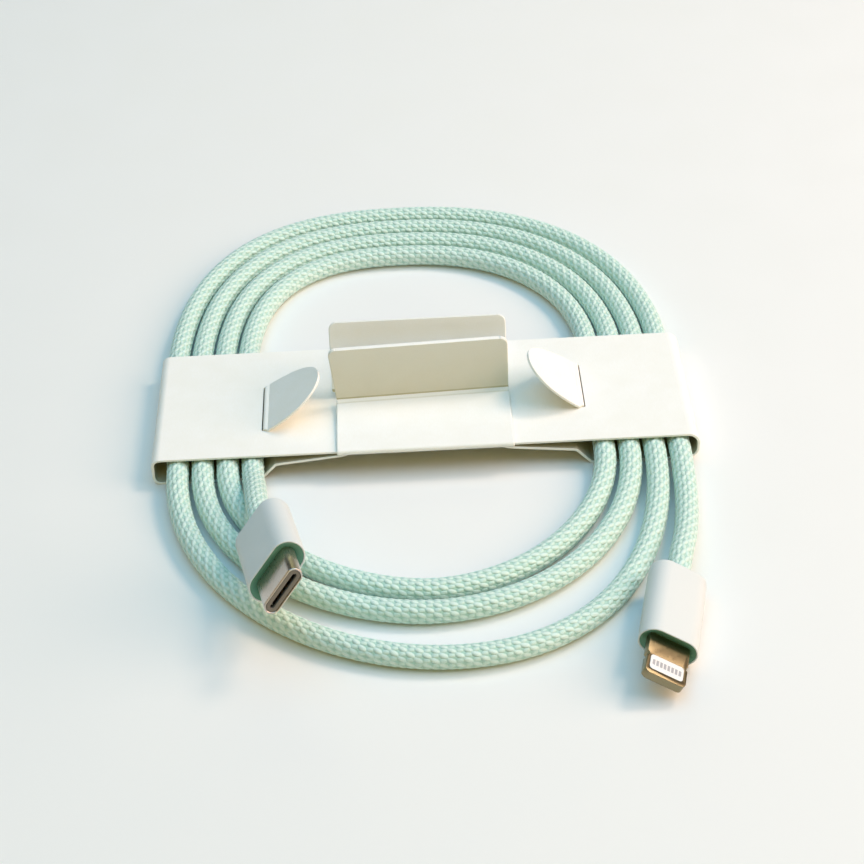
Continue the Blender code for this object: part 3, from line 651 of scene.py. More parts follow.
def soften_route(points, spacing):
    """Ease small kinks out of an even route, keeping its ends."""
    width = max(1, round(ROUTE_SOFTENING / spacing))
    weights = np.hanning(2 * width + 3)[1:-1]
    weights /= weights.sum()
    padded = np.concatenate([
        2 * points[:1] - points[width:0:-1], points, 2 * points[-1:] - points[-2:-width - 2:-1],
    ])
    return np.stack([np.convolve(padded[:, axis], weights, "valid") for axis in range(3)], axis=1)


def cable_route(spacing):
    """Return the whole cable's centreline, from the oval plug to the blade plug, at even steps."""
    coil = coil_route()
    oval = lead_route(coil[0], coil[0] - coil[1], OVAL_LEAD_MIDDLE, OVAL_PLACE, OVAL_TURN)
    blade = lead_route(coil[-1], coil[-1] - coil[-2], BLADE_LEAD_MIDDLE, BLADE_PLACE, BLADE_TURN)
    route = even_route(np.concatenate([oval[::-1], coil, blade]), spacing)
    return even_route(soften_route(route, spacing), spacing)


def route_frames(points):
    """Return two directions square to a route at each point, carried along it without twist."""
    ahead = np.gradient(points, axis=0)
    ahead /= np.linalg.norm(ahead, axis=1)[:, None]
    side = np.cross(ahead[0], (0.0, 0.0, 1.0))
    sides = []
    for direction in ahead:
        side = side - direction * (side @ direction)
        side = side / np.linalg.norm(side)
        sides.append(side)
    sides = np.array(sides)
    return sides, np.cross(sides, ahead)


def braided_tube(name, route, settings):
    """Make the braided tube along a route, with its lattice of crossings as a UV map."""
    columns = settings.braid_columns
    around = 2 * columns
    sides, ups = route_frames(route)
    p, q = np.meshgrid(np.arange(around) / 2, np.arange(len(route)) / 2)
    radius = CABLE_R + settings.braid_relief * (braid_height(p, q) - BRAID_MEAN)
    angle = 2 * np.pi * p / columns
    offset = np.cos(angle)[..., None] * sides[:, None] + np.sin(angle)[..., None] * ups[:, None]
    piece = skin(name, route[:, None] + radius[..., None] * offset)
    mesh = piece.data
    corners = np.empty(len(mesh.loops), int)
    mesh.loops.foreach_get("vertex_index", corners)
    lattice = np.stack([corners % around / 2, corners // around / 2], axis=1)
    for face in mesh.polygons:
        spots = range(face.loop_start, face.loop_start + face.loop_total)
        if face.loop_total == 4 and np.ptp(lattice[list(spots), 0]) > 1:
            for spot in spots:
                if lattice[spot, 0] == 0:
                    lattice[spot, 0] = columns
    layer = mesh.uv_layers.new(name="Braid")
    layer.data.foreach_set("uv", lattice.ravel())
    return piece


def card_section(half_width, half_card, radius):
    """Return the section of a card sheet, as pairs of across and lift, with soft edges."""
    radius = min(radius, half_width * 0.9)
    support = min(SUPPORT, (half_width - radius) / 2)
    points = []
    for corner, (x_sign, z_sign) in enumerate(((1, 1), (-1, 1), (-1, -1), (1, -1))):
        arc = []
        for k in range(EDGE_STEPS + 1):
            turn = math.pi / 2 * (corner + k / EDGE_STEPS)
            x = x_sign * (half_width - radius) + radius * math.cos(turn)
            arc.append((x, z_sign * (half_card - radius) + radius * math.sin(turn)))
        inner = (x_sign * (half_width - radius - support), z_sign * half_card)
        points += [*arc, inner] if corner % 2 == 0 else [inner, *arc]
    return points


def round_path(corners, radii):
    """Return a path through corners with a round bend and supporting points at each."""
    path = [corners[0]]
    for k, radius in enumerate(radii, start=1):
        here = corners[k]
        back = (corners[k - 1] - here).normalized()
        onward = (corners[k + 1] - here).normalized()
        half = back.angle(onward) / 2
        centre = here + (back + onward).normalized() * radius / math.sin(half)
        start = here + back * radius / math.tan(half) - centre
        end = here + onward * radius / math.tan(half) - centre
        bend = math.pi - 2 * half
        steps = max(2, math.ceil(bend / FOLD_STEP))
        path.append(centre + start + back * SUPPORT)
        for n in range(steps + 1):
            share = n / steps
            spoke = start * math.sin((1 - share) * bend) + end * math.sin(share * bend)
            path.append(centre + spoke / math.sin(bend))
        path.append(centre + end + onward * SUPPORT)
    path.append(corners[-1])
    return path


def card_sheet(name, path, halves, across, radius, thick=None, scores_and_crease_shade=None, painted_shades=None, bare=None):
    """Make a sheet of card along a path, with a half width at each point and soft edges all round.

    The thickness may vary along the path, points of the path may be score lines, darkened partly as painted
    crease shade, and may take painted shade on their upper side, and a test of each point and side says
    where painted shade goes inside the sleeves and under the waist.
    """
    scores_and_crease_shade = scores_and_crease_shade or {}
    painted_shades = painted_shades or {}
    points = np.array([tuple(point) for point in path])
    across = np.array(across)
    steps = np.diff(points, axis=0)
    steps /= np.linalg.norm(steps, axis=1)[:, None]
    ahead = np.concatenate([steps[:1], steps[:-1] + steps[1:], steps[-1:]])
    ahead /= np.linalg.norm(ahead, axis=1)[:, None]
    lift = np.cross(across, ahead)
    rounding = [(0, k, 1) for k in range(EDGE_STEPS, 0, -1)]
    rounding += [(spot, 0, 0) for spot in range(len(points))]
    rounding += [(len(points) - 1, k, -1) for k in range(1, EDGE_STEPS + 1)]
    rings = []
    for spot, k, inwards in rounding:
        turn = math.pi / 2 * k / EDGE_STEPS
        shrink = radius * (1 - math.cos(turn))
        place = points[spot] + ahead[spot] * inwards * radius * (1 - math.sin(turn))
        half_card = (thick[spot] if thick else CARD) / 2
        section = card_section(halves[spot] - shrink, half_card - shrink, radius - shrink * 0.999)
        rings.append([place + across * x + lift[spot] * z for x, z in section])
    piece = skin(name, rings)
    count = len(rings[0])
    # The first attribute holds score lines, darkened partly as painted crease shade, and painted shade on a
    # fin's face; the second marks painted shade inside the sleeves and under the waist
    score_and_shade_level = piece.data.attributes.new("score", "FLOAT", "POINT")
    inner_shade_level = piece.data.attributes.new("bare", "FLOAT", "POINT")
    for n, (spot, k, inwards) in enumerate(rounding):
        section = card_section(halves[spot], CARD / 2, radius)
        for m, (x, z) in enumerate(section):
            upper = z > 0
            painted_shade = painted_shades.get(spot, 0.0) if upper else 0.0
            score_and_shade_level.data[n * count + m].value = scores_and_crease_shade.get(spot, 0.0) + painted_shade
            flat = k == 0 and abs(x) < halves[spot] - radius - SUPPORT / 2
            shows_inner_shade = bare and flat and bare(path[spot], upper)
            inner_shade_level.data[n * count + m].value = 1.0 if shows_inner_shade else 0.0
    return piece


def mitre(before, here, after, distance):
    """Return a corner of an outline moved inwards by a wall's thickness."""
    first = (here - before).normalized()
    second = (after - here).normalized()
    normal = Vector((-first.y, first.x)) + Vector((-second.y, second.x))
    normal.normalize()
    return here + normal * distance / normal.dot(Vector((-first.y, first.x)))


def band_half(fold, bend):
    """Return one half of the band's middle line, from under the waist to the middle of the top."""
    foot = INNER_PASS_X - RAMP_FOOT
    waist = BAND_TOP - 2 * CARD - TUCK_GAP
    outline = [Vector((0.0, waist)), Vector((TUCK_HALF, waist)), Vector((foot - RAMP_RUN, RAMP_RISE))]
    outline += [Vector((foot, 0.0)), Vector((BAND_HALF, 0.0)), Vector((BAND_HALF, BAND_TOP))]
    outline.append(Vector((0.0, BAND_TOP)))
    middle = [mitre(*outline[k - 1:k + 2], CARD / 2) for k in range(1, 6)]
    corners = [Vector((0.1 * MM, middle[0].y)), *middle, Vector((0.0, BAND_TOP - CARD / 2))]
    corners = [Vector((point.x, 0.0, point.y)) for point in corners]
    return round_path(corners, [4 * bend, bend, bend, fold - CARD / 2, fold - CARD / 2])


def fill_path(path, spacing):
    """Add points along the longer stretches of a path."""
    filled = [path[0]]
    for point in path[1:]:
        start = filled[-1]
        count = max(1, math.ceil((point - start).length / spacing))
        filled += [start.lerp(point, k / count) for k in range(1, count + 1)]
    return filled


def band_depth(point):
    """Return the band's half depth at a point of its middle line, less where the flaps wrap the waist."""
    past = (abs(point.x) - WAIST_NARROW_FROM) / (WAIST_NARROW_TO - WAIST_NARROW_FROM)
    share = min(1.0, max(0.0, past))
    return BAND_EDGE - WAIST_DRAW_IN * (1 - share * share * (3 - 2 * share))


def band_inner_shade(point, outside):
    """Say whether a side of the band takes painted shade: inside the sleeves and on the waist's lower panel.
    """
    return not outside or (abs(point.x) < INNER_PASS_X - RAMP_FOOT and point.z < BAND_TOP - CARD)


def make_slit(y):
    """Make the cutter for a tongue's slit through the top of the band."""
    half = ROOT_LENGTH / 2 + SLIT_END_GAP
    rings = []
    for z in (BAND_TOP - 2 * CARD, BAND_TOP + CARD):
        ring = []
        for sign in (1, -1):
            for k in range(7):
                turn = math.pi * k / 6
                x = sign * SLIT_WIDTH / 2 * math.cos(turn)
                reach = half - SLIT_WIDTH / 2 + SLIT_WIDTH / 2 * math.sin(turn)
                ring.append(Vector((x, y + sign * reach, z)))
        rings.append(ring)
    return skin("slit", rings)


def make_tongue(name, sign, y, angle, skew, settings):
    """Make a D-shaped locking tongue: a root in its slit, a narrow flat strip and the standing D."""
    strip_z = BAND_TOP + STRIP_LIFT + CARD / 2
    crease = Vector((sign * SLIT_X, y, strip_z))
    onward = Vector((-sign * math.cos(angle), 0.0, math.sin(angle)))
    shoulder = crease + Vector((sign * STRIP_WIDTH, 0.0, 0.0))
    root = shoulder - Vector((0.0, 0.0, ROOT_DEPTH))
    corners = [root, shoulder, crease, crease + onward * TONGUE_REACH / 2]
    path = round_path(corners, [STRIP_BEND, STRIP_BEND])[:-1]
    start = (path[-1] - crease).dot(onward)
    swing = math.asin(start / TONGUE_REACH)
    for k in range(1, 29):
        turn = swing + (math.radians(88.5) - swing) * k / 28
        path.append(crease + onward * TONGUE_REACH * math.sin(turn))
    halves = []
    for point in path:
        share = max(0.0, (point - crease).dot(onward)) / TONGUE_REACH
        rounded = (1 - share ** TONGUE_SQUARENESS) ** (1 / TONGUE_SQUARENESS)
        on_strip = min(1.0, max(0.0, sign * (shoulder.x - point.x) / STRIP_WIDTH))
        length = ROOT_LENGTH + (TONGUE_LENGTH - ROOT_LENGTH) * on_strip
        halves.append(length / 2 * rounded)
    piece = card_sheet(name, path, halves, (0.0, 1.0, 0.0), settings.edge_radius)
    for vertex in piece.data.vertices:
        share = min(1.0, max(0.0, (vertex.co - crease).dot(onward) / TONGUE_REACH))
        vertex.co.y -= skew * math.sin(share * math.pi / 2)
    return piece, tuple(crease.lerp(shoulder, 0.4)), tuple(crease + onward * STRIP_BEND)


def mark_path(path, marks):
    """Return a path with further points put in where they lie on it."""
    path = list(path)
    for mark in marks:
        gaps = [(a - mark).length + (b - mark).length - (b - a).length for a, b in zip(path, path[1:])]
        path.insert(gaps.index(min(gaps)) + 1, mark)
    return path


def make_flap(name, sign, height, width, shift, lean, yaw, flare, painted_shade, settings):
    """Make a flap that lies on the waist, with the double fin that stands on its free edge."""
    crease = Vector((shift, sign * CREASE_SPACING / 2, CREASE_Z))
    upward = Vector((0.0, math.sin(lean), math.cos(lean)))
    foot = Vector((shift, crease.y, LEAF_Z + LEAF_SWELL + FOOT_RISE))
    leaf_end = foot + Vector((0.0, sign * FOOT_RUN, -FOOT_RISE))
    top = crease + upward * height
    lip = Vector((0.0, sign * LIP_Y, LEAF_Z - LIP_DROP))
    corners = [lip, Vector((0.0, sign * LIP_Y, LEAF_Z)), leaf_end, foot, top - upward * FIN_CORNER]
    path = round_path(corners, [FIN_SCORE, FIN_SCORE, FIN_SCORE])
    line = upward * FOOT_LINE
    path = mark_path(path, [foot + line, foot + line * 1.5])
    path = mark_path(path, [leaf_end.lerp(foot, 0.32), leaf_end + Vector((0.0, sign * FOOT_LINE, 0.0))])
    heights = [(point - foot).dot(upward) for point in path]
    halves = [FLAP_WIDTH / 2 if rise < 0.0 else width / 2 for rise in heights]
    for k in range(1, 11):
        turn = math.pi / 2 * k / 10
        path.append(top - upward * FIN_CORNER * (1 - math.sin(turn)))
        halves.append(width / 2 - FIN_CORNER * (1 - math.cos(turn)))
    thick = [FIN_CARD if (point - foot).dot(upward) > 2 * FIN_SCORE else CARD for point in path]
    # Painted shade on a fin's face, fading towards its top, and score lines at the foot and the leaf's end,
    # darkened partly as painted crease shade
    scores_and_crease_shade, painted_shades = {}, {}
    for k, point in enumerate(path[:-1]):
        rise = (point - foot).dot(upward)
        if rise > 1.2 * FOOT_LINE:
            painted_shades[k] = painted_shade * (1 - rise / (2 * height))
        elif rise > -0.05 * MM:
            scores_and_crease_shade[k] = DEEP_SCORE_AND_SHADE
        elif (point - leaf_end).length < 0.8 * FOOT_LINE:
            scores_and_crease_shade[k] = FAINT_SCORE_AND_SHADE
    piece = card_sheet(name, path, halves, (1.0, 0.0, 0.0), settings.fin_edge, thick, scores_and_crease_shade, painted_shades)
    for vertex in piece.data.vertices:
        reach = (vertex.co.y - sign * LIP_Y) / (foot.y - sign * LIP_Y)
        rise = max(0.0, (vertex.co - foot).dot(upward) / height)
        vertex.co.y += yaw * (vertex.co.x - width / 2) * min(1.0, max(0.0, reach))
        vertex.co.x += flare * rise * (vertex.co.x / width - 0.5)
    return piece, tuple(leaf_end), tuple(foot + upward * 0.4 * MM)


def make_hinge(name, sign, settings):
    """Make the strip of card that joins the waist's edge to the fold of a flap."""
    inner = Vector((0.0, sign * (BAND_EDGE - HINGE_INSET), BAND_TOP - 1.5 * CARD - TUCK_GAP))
    outer = Vector((0.0, sign * (LIP_Y - CARD / 3), LEAF_Z - LIP_DROP))
    path = fill_path([inner, outer], HINGE_SPACING)
    halves = [FLAP_WIDTH / 2 - HINGE_MARGIN] * len(path)
    # The hinge strip takes painted shade on both sides
    piece = card_sheet(name, path, halves, (1.0, 0.0, 0.0), settings.edge_radius,
                       bare=lambda point, outside: True)
    return piece, tuple(inner), tuple(outer)


def stadium(width, thickness, y, steps=16):
    """Return one ring of points round a flat-sided oval in a plug's cross-section."""
    radius = thickness / 2
    straight = (width - thickness) / 2
    right = []
    for k in range(steps + 1):
        angle = -math.pi / 2 + math.pi * k / steps
        right.append(Vector((straight + radius * math.cos(angle), y, radius * math.sin(angle))))
    return right + [Vector((-point.x, y, -point.z)) for point in right]


def round_edge(width, thickness, y, radius, inwards, steps=5):
    """Return rings that roll a wall's end over by a quarter turn."""
    rings = []
    for k in range(steps + 1):
        turn = math.pi / 2 * k / steps
        inset = 2 * radius * (1 - math.cos(turn))
        rings.append(stadium(width - inset, thickness - inset, y + inwards * radius * math.sin(turn)))
    return rings


def set_plug(piece, place, turn):
    """Put a piece that was made in a plug's own frame where the plug is."""
    piece.data.transform(Matrix.Translation(place) @ turn.to_matrix().to_4x4())
    piece.data.update()
    return piece


def hollow_piece(name, rings, place, turn):
    """Skin rings into a hollow piece of a plug and put it where the plug is."""
    piece = skin(name, rings, through=True)
    keep_creases(piece)
    return set_plug(piece, place, turn)


def make_housing(name, width, thickness, front, place, turn, settings):
    """Make a moulded housing: a thin rim, smooth flat-sided walls and a rounded cable end."""
    rim = settings.rim_width
    roll = rim / 2
    rear = settings.rear_radius
    inner = 2 * rim
    lip = front + roll
    rings = [stadium(width - inner, thickness - inner, front + 2 * rim)]
    rings.append(stadium(width - inner, thickness - inner, lip + SUPPORT))
    for k in range(11):
        turned = math.pi * k / 10
        inset = inner - 2 * roll * (1 - math.cos(turned))
        rings.append(stadium(width - inset, thickness - inset, lip - roll * math.sin(turned)))
    rings.append(stadium(width, thickness, lip + SUPPORT))
    rings.append(stadium(width, thickness, HOUSING_LENGTH - rear - SUPPORT))
    rings += round_edge(width, thickness, HOUSING_LENGTH - rear, rear, 1, 8)
    hole = CABLE_D + HOLE_GAP
    core = (width - 2 * rim - CORE_INSET, thickness - 2 * rim - CORE_INSET)
    rings.append(stadium(hole + HOLE_FLARE, hole + HOLE_FLARE, HOUSING_LENGTH))
    rings.append(stadium(hole, hole, HOUSING_LENGTH - HOLE_CHAMFER))
    rings.append(stadium(hole, hole, HOUSING_LENGTH - HOLE_DEPTH))
    rings.append(stadium(*core, HOUSING_LENGTH - REAR_WALL))
    rings.append(stadium(*core, front + FRONT_WALL))
    return hollow_piece(name, rings, place, turn)


def make_face(name, width, thickness, hole_width, hole_thickness, front, place, turn, settings):
    """Make a green front face, dished towards the metal that comes through it."""
    rim = 2 * settings.rim_width + FACE_FIT
    rings = []
    deep = front + settings.face_depth
    for share, depth in FACE_DISH:
        w = (width - rim) * (1 - share) + hole_width * share
        t = (thickness - rim) * (1 - share) + hole_thickness * share
        rings.append(stadium(w, t, front + settings.face_depth * depth))
    rings.append(stadium(hole_width, hole_thickness, deep + FACE_THICKNESS))
    rings.append(stadium(width - rim, thickness - rim, deep + FACE_THICKNESS))
    return hollow_piece(name, rings, place, turn)


def make_shell(name):
    """Make the oval metal shell with a rolled lip."""
    roll = SHELL_WALL / 2
    inner_width = SHELL_WIDTH - 2 * SHELL_WALL
    inner_thickness = SHELL_THICKNESS - 2 * SHELL_WALL
    rings = [stadium(inner_width, inner_thickness, SHELL_TAIL)]
    rings.append(stadium(inner_width, inner_thickness, roll + SUPPORT - SHELL_NOSE))
    for k in range(9):
        turn = math.pi * k / 8
        inset = 2 * roll * (1 - math.cos(math.pi - turn))
        y = roll - SHELL_NOSE - roll * math.sin(turn)
        rings.append(stadium(SHELL_WIDTH - inset, SHELL_THICKNESS - inset, y))
    rings.append(stadium(SHELL_WIDTH, SHELL_THICKNESS, roll + SUPPORT - SHELL_NOSE))
    rings.append(stadium(SHELL_WIDTH, SHELL_THICKNESS, SHELL_TAIL))
    return hollow_piece(name, rings, OVAL_PLACE, OVAL_TURN)


def rounded_slab(name, outline, low, high, bevel):
    """Make a flat slab from an outline, with all its edges softened."""
    count = len(outline)
    points = [(x, y, z) for z in (low, high) for x, y in outline]
    faces = [(k, (k + 1) % count, count + (k + 1) % count, count + k) for k in range(count)]
    faces += [tuple(range(count)), tuple(range(count, 2 * count))]
    piece = link_mesh(name, points, faces)
    if bevel:
        soften_edges(piece, bevel)
    return piece


def soften_edges(piece, bevel):
    """Round a piece's sharp edges over."""
    shape = bmesh.new()
    shape.from_mesh(piece.data)
    bmesh.ops.recalc_face_normals(shape, faces=shape.faces)
    least = math.radians(BEVEL_ANGLE)
    sharp = [edge for edge in shape.edges if edge.is_manifold and edge.calc_face_angle() > least]
    bmesh.ops.bevel(
        shape, geom=sharp, offset=bevel, segments=3, profile=0.5, affect="EDGES", clamp_overlap=True,
    )
    shape.to_mesh(piece.data)
    shape.free()
    keep_creases(piece, BEVELLED_SHARP_ANGLE)


def round_box(width, length, middle, corner, steps=6):
    """Return the outline of a rectangle with round corners, in a plug's own plane."""
    outline = []
    for k, (x_sign, y_sign) in enumerate(((1, 1), (-1, 1), (-1, -1), (1, -1))):
        for n in range(steps + 1):
            turn = math.pi / 2 * (k + n / steps)
            x = x_sign * (width / 2 - corner) + corner * math.cos(turn)
            outline.append((x, middle + y_sign * (length / 2 - corner) + corner * math.sin(turn)))
    return outline


def make_blade(name):
    """Make the flat blade with round corners, a window through it and a notch in each side."""
    half = BLADE_WIDTH / 2
    outline = [(half, BLADE_TAIL), (-half, BLADE_TAIL)]
    for x_sign, start in ((-1, math.pi), (1, 1.5 * math.pi)):
        for k in range(9):
            turn = start + math.pi / 2 * k / 8
            x = x_sign * (half - BLADE_CORNER) + BLADE_CORNER * math.cos(turn)
            outline.append((x, BLADE_CORNER - BLADE_NOSE + BLADE_CORNER * math.sin(turn)))
    piece = rounded_slab(name, outline, -BLADE_THICKNESS / 2, BLADE_THICKNESS / 2, 0.0)
    window_end = WINDOW_SETBACK - BLADE_NOSE + WINDOW_LENGTH
    window = round_box(WINDOW_WIDTH, WINDOW_LENGTH, window_end - WINDOW_LENGTH / 2, WINDOW_CORNER)
    cut(piece, rounded_slab("window", window, -BLADE_THICKNESS, BLADE_THICKNESS, 0.0))
    for sign in (-1, 1):
        notch = []
        for k in range(24):
            turn = 2 * math.pi * k / 24
            x = sign * (half + NOTCH_RADIUS - NOTCH_DEPTH) + NOTCH_RADIUS * math.cos(turn)
            notch.append((x, window_end + NOTCH_RADIUS * math.sin(turn)))
        cut(piece, rounded_slab("notch", notch, -BLADE_THICKNESS, BLADE_THICKNESS, 0.0))
    soften_edges(piece, BLADE_BEVEL)
    return set_plug(piece, BLADE_PLACE, BLADE_TURN)


def make_window_fill(name):
    """Make the white insulator that fills the blade's window, with a trough for each row of contacts."""
    middle = WINDOW_SETBACK - BLADE_NOSE + WINDOW_LENGTH / 2
    outline = round_box(WINDOW_WIDTH - WINDOW_GAP, WINDOW_LENGTH - WINDOW_GAP, middle, WINDOW_CORNER)
    proud = BLADE_THICKNESS / 2 + WINDOW_RISE
    piece = rounded_slab(name, outline, -proud, proud, 0.0)
    trough = round_box(TROUGH_WIDTH, TROUGH_LENGTH, middle, TROUGH_CORNER)
    floor = BLADE_THICKNESS / 2 - TROUGH_DEPTH
    for low, high in ((floor, 2 * floor), (-2 * floor, -floor)):
        cut(piece, rounded_slab("trough", trough, low, high, 0.0))
    soften_edges(piece, WINDOW_BEVEL)
    return set_plug(piece, BLADE_PLACE, BLADE_TURN)


def make_mouth_plate(name):
    """Make the plate just inside the shell's lip, with the slot that leads to the contacts."""
    width = SHELL_WIDTH - 2 * SHELL_WALL - MOUTH_FIT
    thickness = SHELL_THICKNESS - 2 * SHELL_WALL - MOUTH_FIT
    front = MOUTH_SETBACK - SHELL_NOSE
    roll = MOUTH_ROLL
    rings = [stadium(width, thickness, front + MOUTH_DEPTH)]
    rings += round_edge(width, thickness, front + roll, roll, -1)
    for k in range(5):
        turn = math.pi / 2 * k / 4
        spread = 2 * roll * (1 - math.sin(turn))
        y = front + roll * (1 - math.cos(turn))
        rings.append(stadium(MOUTH_WIDTH + spread, MOUTH_HEIGHT + spread, y))
    rings.append(stadium(MOUTH_WIDTH, MOUTH_HEIGHT, front + MOUTH_DEPTH))
    return hollow_piece(name, rings, OVAL_PLACE, OVAL_TURN)


def dress(piece, finish, body, slot, *nodes):
    """Give a piece its finish, the body it rides on and the nodes that it stands for; the slot is not used.
    """
    piece.data.materials.clear()
    piece.data.materials.append(finish)
    if body:
        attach(piece, body)
    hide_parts(*nodes)
    return piece


def add_lamp(name, place, size, colour, power):
    """Add a soft square lamp that shines on the object."""
    light = bpy.data.lights.new(name, "AREA")
    light.shape = "SQUARE"
    light.size = size
    light.color = colour
    light.energy = power
    lamp = bpy.data.objects.new(name, light)
    bpy.context.collection.objects.link(lamp)
    lamp.location = place
    lamp.rotation_mode = "QUATERNION"
    lamp.rotation_quaternion = (CAMERA_LOOK - place).to_track_quat("-Z", "Y")


def add_camera():
    """Add the camera at the photograph's viewing angle."""
    ahead = Vector((
        math.sin(CAMERA_AZIMUTH) * math.cos(CAMERA_ELEVATION),
        math.cos(CAMERA_AZIMUTH) * math.cos(CAMERA_ELEVATION),
        -math.sin(CAMERA_ELEVATION),
    ))
    right = Vector((math.cos(CAMERA_AZIMUTH), -math.sin(CAMERA_AZIMUTH), 0.0))
    up = right.cross(ahead)
    level = Matrix((right, up, -ahead)).transposed()
    lens = bpy.data.cameras.new("camera")
    lens.lens = CAMERA_LENS
    lens.sensor_width = SENSOR
    lens.clip_start = 0.01
    camera = bpy.data.objects.new("camera", lens)
    bpy.context.collection.objects.link(camera)
    turn = level @ Matrix.Rotation(-CAMERA_ROLL, 3, "Z")
    camera.matrix_world = Matrix.Translation(CAMERA_LOOK - ahead * CAMERA_DISTANCE) @ turn.to_4x4()
    bpy.context.scene.camera = camera


class CABLE_OT_make_band(bpy.types.Operator):
    """Make the card band that wraps both bundles of cable"""
    bl_idname = "charging_cable.make_band"
    bl_label = "Make card band"

    def execute(self, context):
        settings = context.scene.card_settings
        right = band_half(settings.right_fold, settings.bend_radius)
        left = band_half(settings.left_fold, settings.bend_radius)
        path = right[:-1] + [Vector((-point.x, 0.0, point.z)) for point in reversed(left)]
        path = fill_path(path, BAND_SPACING)
        band = card_sheet("band_card", path, [band_depth(point) for point in path], (0.0, 1.0, 0.0),
                          settings.edge_radius, bare=band_inner_shade)
        for sign, y in ((-1, LEFT_TONGUE_Y), (1, RIGHT_TONGUE_Y)):
            slit = make_slit(y)
            slit.location.x = sign * (SLIT_X + STRIP_WIDTH + SLIT_OFFSET)
            context.view_layer.update()
            cut(band, slit)
        keep_creases(band)
        dress(band, white_card(settings), "band", "white_card", "card_band")
        return {"FINISHED"}


class CABLE_OT_make_flaps(bpy.types.Operator):
    """Make the two flaps over the waist, each with its standing fin"""
    bl_idname = "charging_cable.make_flaps"
    bl_label = "Make flaps and fins"

    def execute(self, context):
        settings = context.scene.card_settings
        finish = white_card(settings)
        rows = (
            ("front", -1, FRONT_FIN_HEIGHT, FIN_WIDTH, 0.0, FRONT_FIN_LEAN, FRONT_FIN_YAW,
             FRONT_FIN_FLARE, FRONT_FIN_PAINTED_SHADE),
            ("rear", 1, REAR_FIN_HEIGHT, REAR_FIN_WIDTH, REAR_FIN_SHIFT, REAR_FIN_LEAN, 0.0, 0.0, 0.0),
        )
        for side, sign, *sizes in rows:
            flap = side + "_flap"
            fin = side + "_fin"
            piece, start, end = make_flap(flap + "_card", sign, *sizes, settings)
            dress(piece, finish, "", "white_card", flap, fin)
            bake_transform(piece)
            hinge, start, end = make_hinge(flap + "_hinge", sign, settings)
            dress(hinge, finish, "", "white_card")
            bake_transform(hinge)
        return {"FINISHED"}


class CABLE_OT_make_tongues(bpy.types.Operator):
    """Make the two locking tongues that come up through the band"""
    bl_idname = "charging_cable.make_tongues"
    bl_label = "Make tongues"

    def execute(self, context):
        settings = context.scene.card_settings
        finish = white_card(settings)
        rows = (
            ("left_tongue", -1, LEFT_TONGUE_Y, LEFT_TONGUE_ANGLE, LEFT_TONGUE_SKEW),
            ("right_tongue", 1, RIGHT_TONGUE_Y, RIGHT_TONGUE_ANGLE, RIGHT_TONGUE_SKEW),
        )
        for body, sign, *sizes in rows:
            piece, start, end = make_tongue(body + "_card", sign, *sizes, settings)
            dress(piece, finish, "", "white_card", body)
            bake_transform(piece)
        return {"FINISHED"}


class CABLE_OT_make_oval_plug(bpy.types.Operator):
    """Make the plug with the oval metal shell"""
    bl_idname = "charging_cable.make_oval_plug"
    bl_label = "Make oval plug"

    def execute(self, context):
        settings = context.scene.plug_settings
        housing = make_housing("oval_housing_moulding", OVAL_WIDTH, OVAL_THICKNESS, 0.0,
                               OVAL_PLACE, OVAL_TURN, settings)
        dress(housing, moulded_white(settings), "band", "white_shell", "oval_housing")
        face = make_face("oval_green_face", OVAL_WIDTH, OVAL_THICKNESS, SHELL_WIDTH, SHELL_THICKNESS, 0.0,
                         OVAL_PLACE, OVAL_TURN, settings)
        dress(face, green_face(settings), "band", "green_face", "oval_front_face")
        shell = make_shell("oval_shell_lip")
        dress(shell, brushed_metal("satin_nickel", settings.shell, 0.3, OVAL_TURN), "band",
              "satin_nickel", "oval_metal_shell")
        plate = make_mouth_plate("oval_mouth_plate")
        grey = speckled_finish("mouth_grey", (0.22, 0.19, 0.155), (0.17, 0.15, 0.12), 0.4, 4000.0)
        dress(plate, grey, "band", "black_insulator")
        return {"FINISHED"}


class CABLE_OT_make_blade_plug(bpy.types.Operator):
    """Make the plug with the flat contact blade"""
    bl_idname = "charging_cable.make_blade_plug"
    bl_label = "Make blade plug"

    def execute(self, context):
        settings = context.scene.plug_settings
        housing = make_housing("blade_housing_moulding", BLADE_BODY_WIDTH, BLADE_BODY_THICKNESS,
                               BLADE_HOUSING_FRONT, BLADE_PLACE, BLADE_TURN, settings)
        dress(housing, moulded_white(settings), "band", "white_shell", "blade_housing")
        face = make_face("blade_green_face", BLADE_BODY_WIDTH, BLADE_BODY_THICKNESS, BLADE_WIDTH,
                         BLADE_THICKNESS, BLADE_HOUSING_FRONT, BLADE_PLACE, BLADE_TURN, settings)
        dress(face, green_face(settings), "band", "green_face", "blade_front_face")
        blade = make_blade("blade_plate")
        dress(blade, brushed_metal("warm_nickel", settings.blade, 0.32, BLADE_TURN), "band",
              "satin_nickel", "blade_frame")
        fill = make_window_fill("blade_window_fill")
        white = speckled_finish("white_insulator", (0.90, 0.90, 0.88), (0.86, 0.86, 0.84), 0.4, 4000.0)
        dress(fill, white, "band", "white_insulator", "blade_insulator")
        return {"FINISHED"}


def moulded_white(settings):
    """Return the housings' finish: satin moulded plastic with a fine spark texture."""
    colour = settings.housing
    return speckled_finish("white_shell", colour, [0.97 * part for part in colour], 0.5, 5200.0, 0.012 * MM)


def green_face(settings):
    """Return the front faces' finish: dark green moulded plastic."""
    colour = settings.face
    return speckled_finish("green_face", colour, [0.75 * part for part in colour], 0.45, 4200.0, 0.015 * MM)


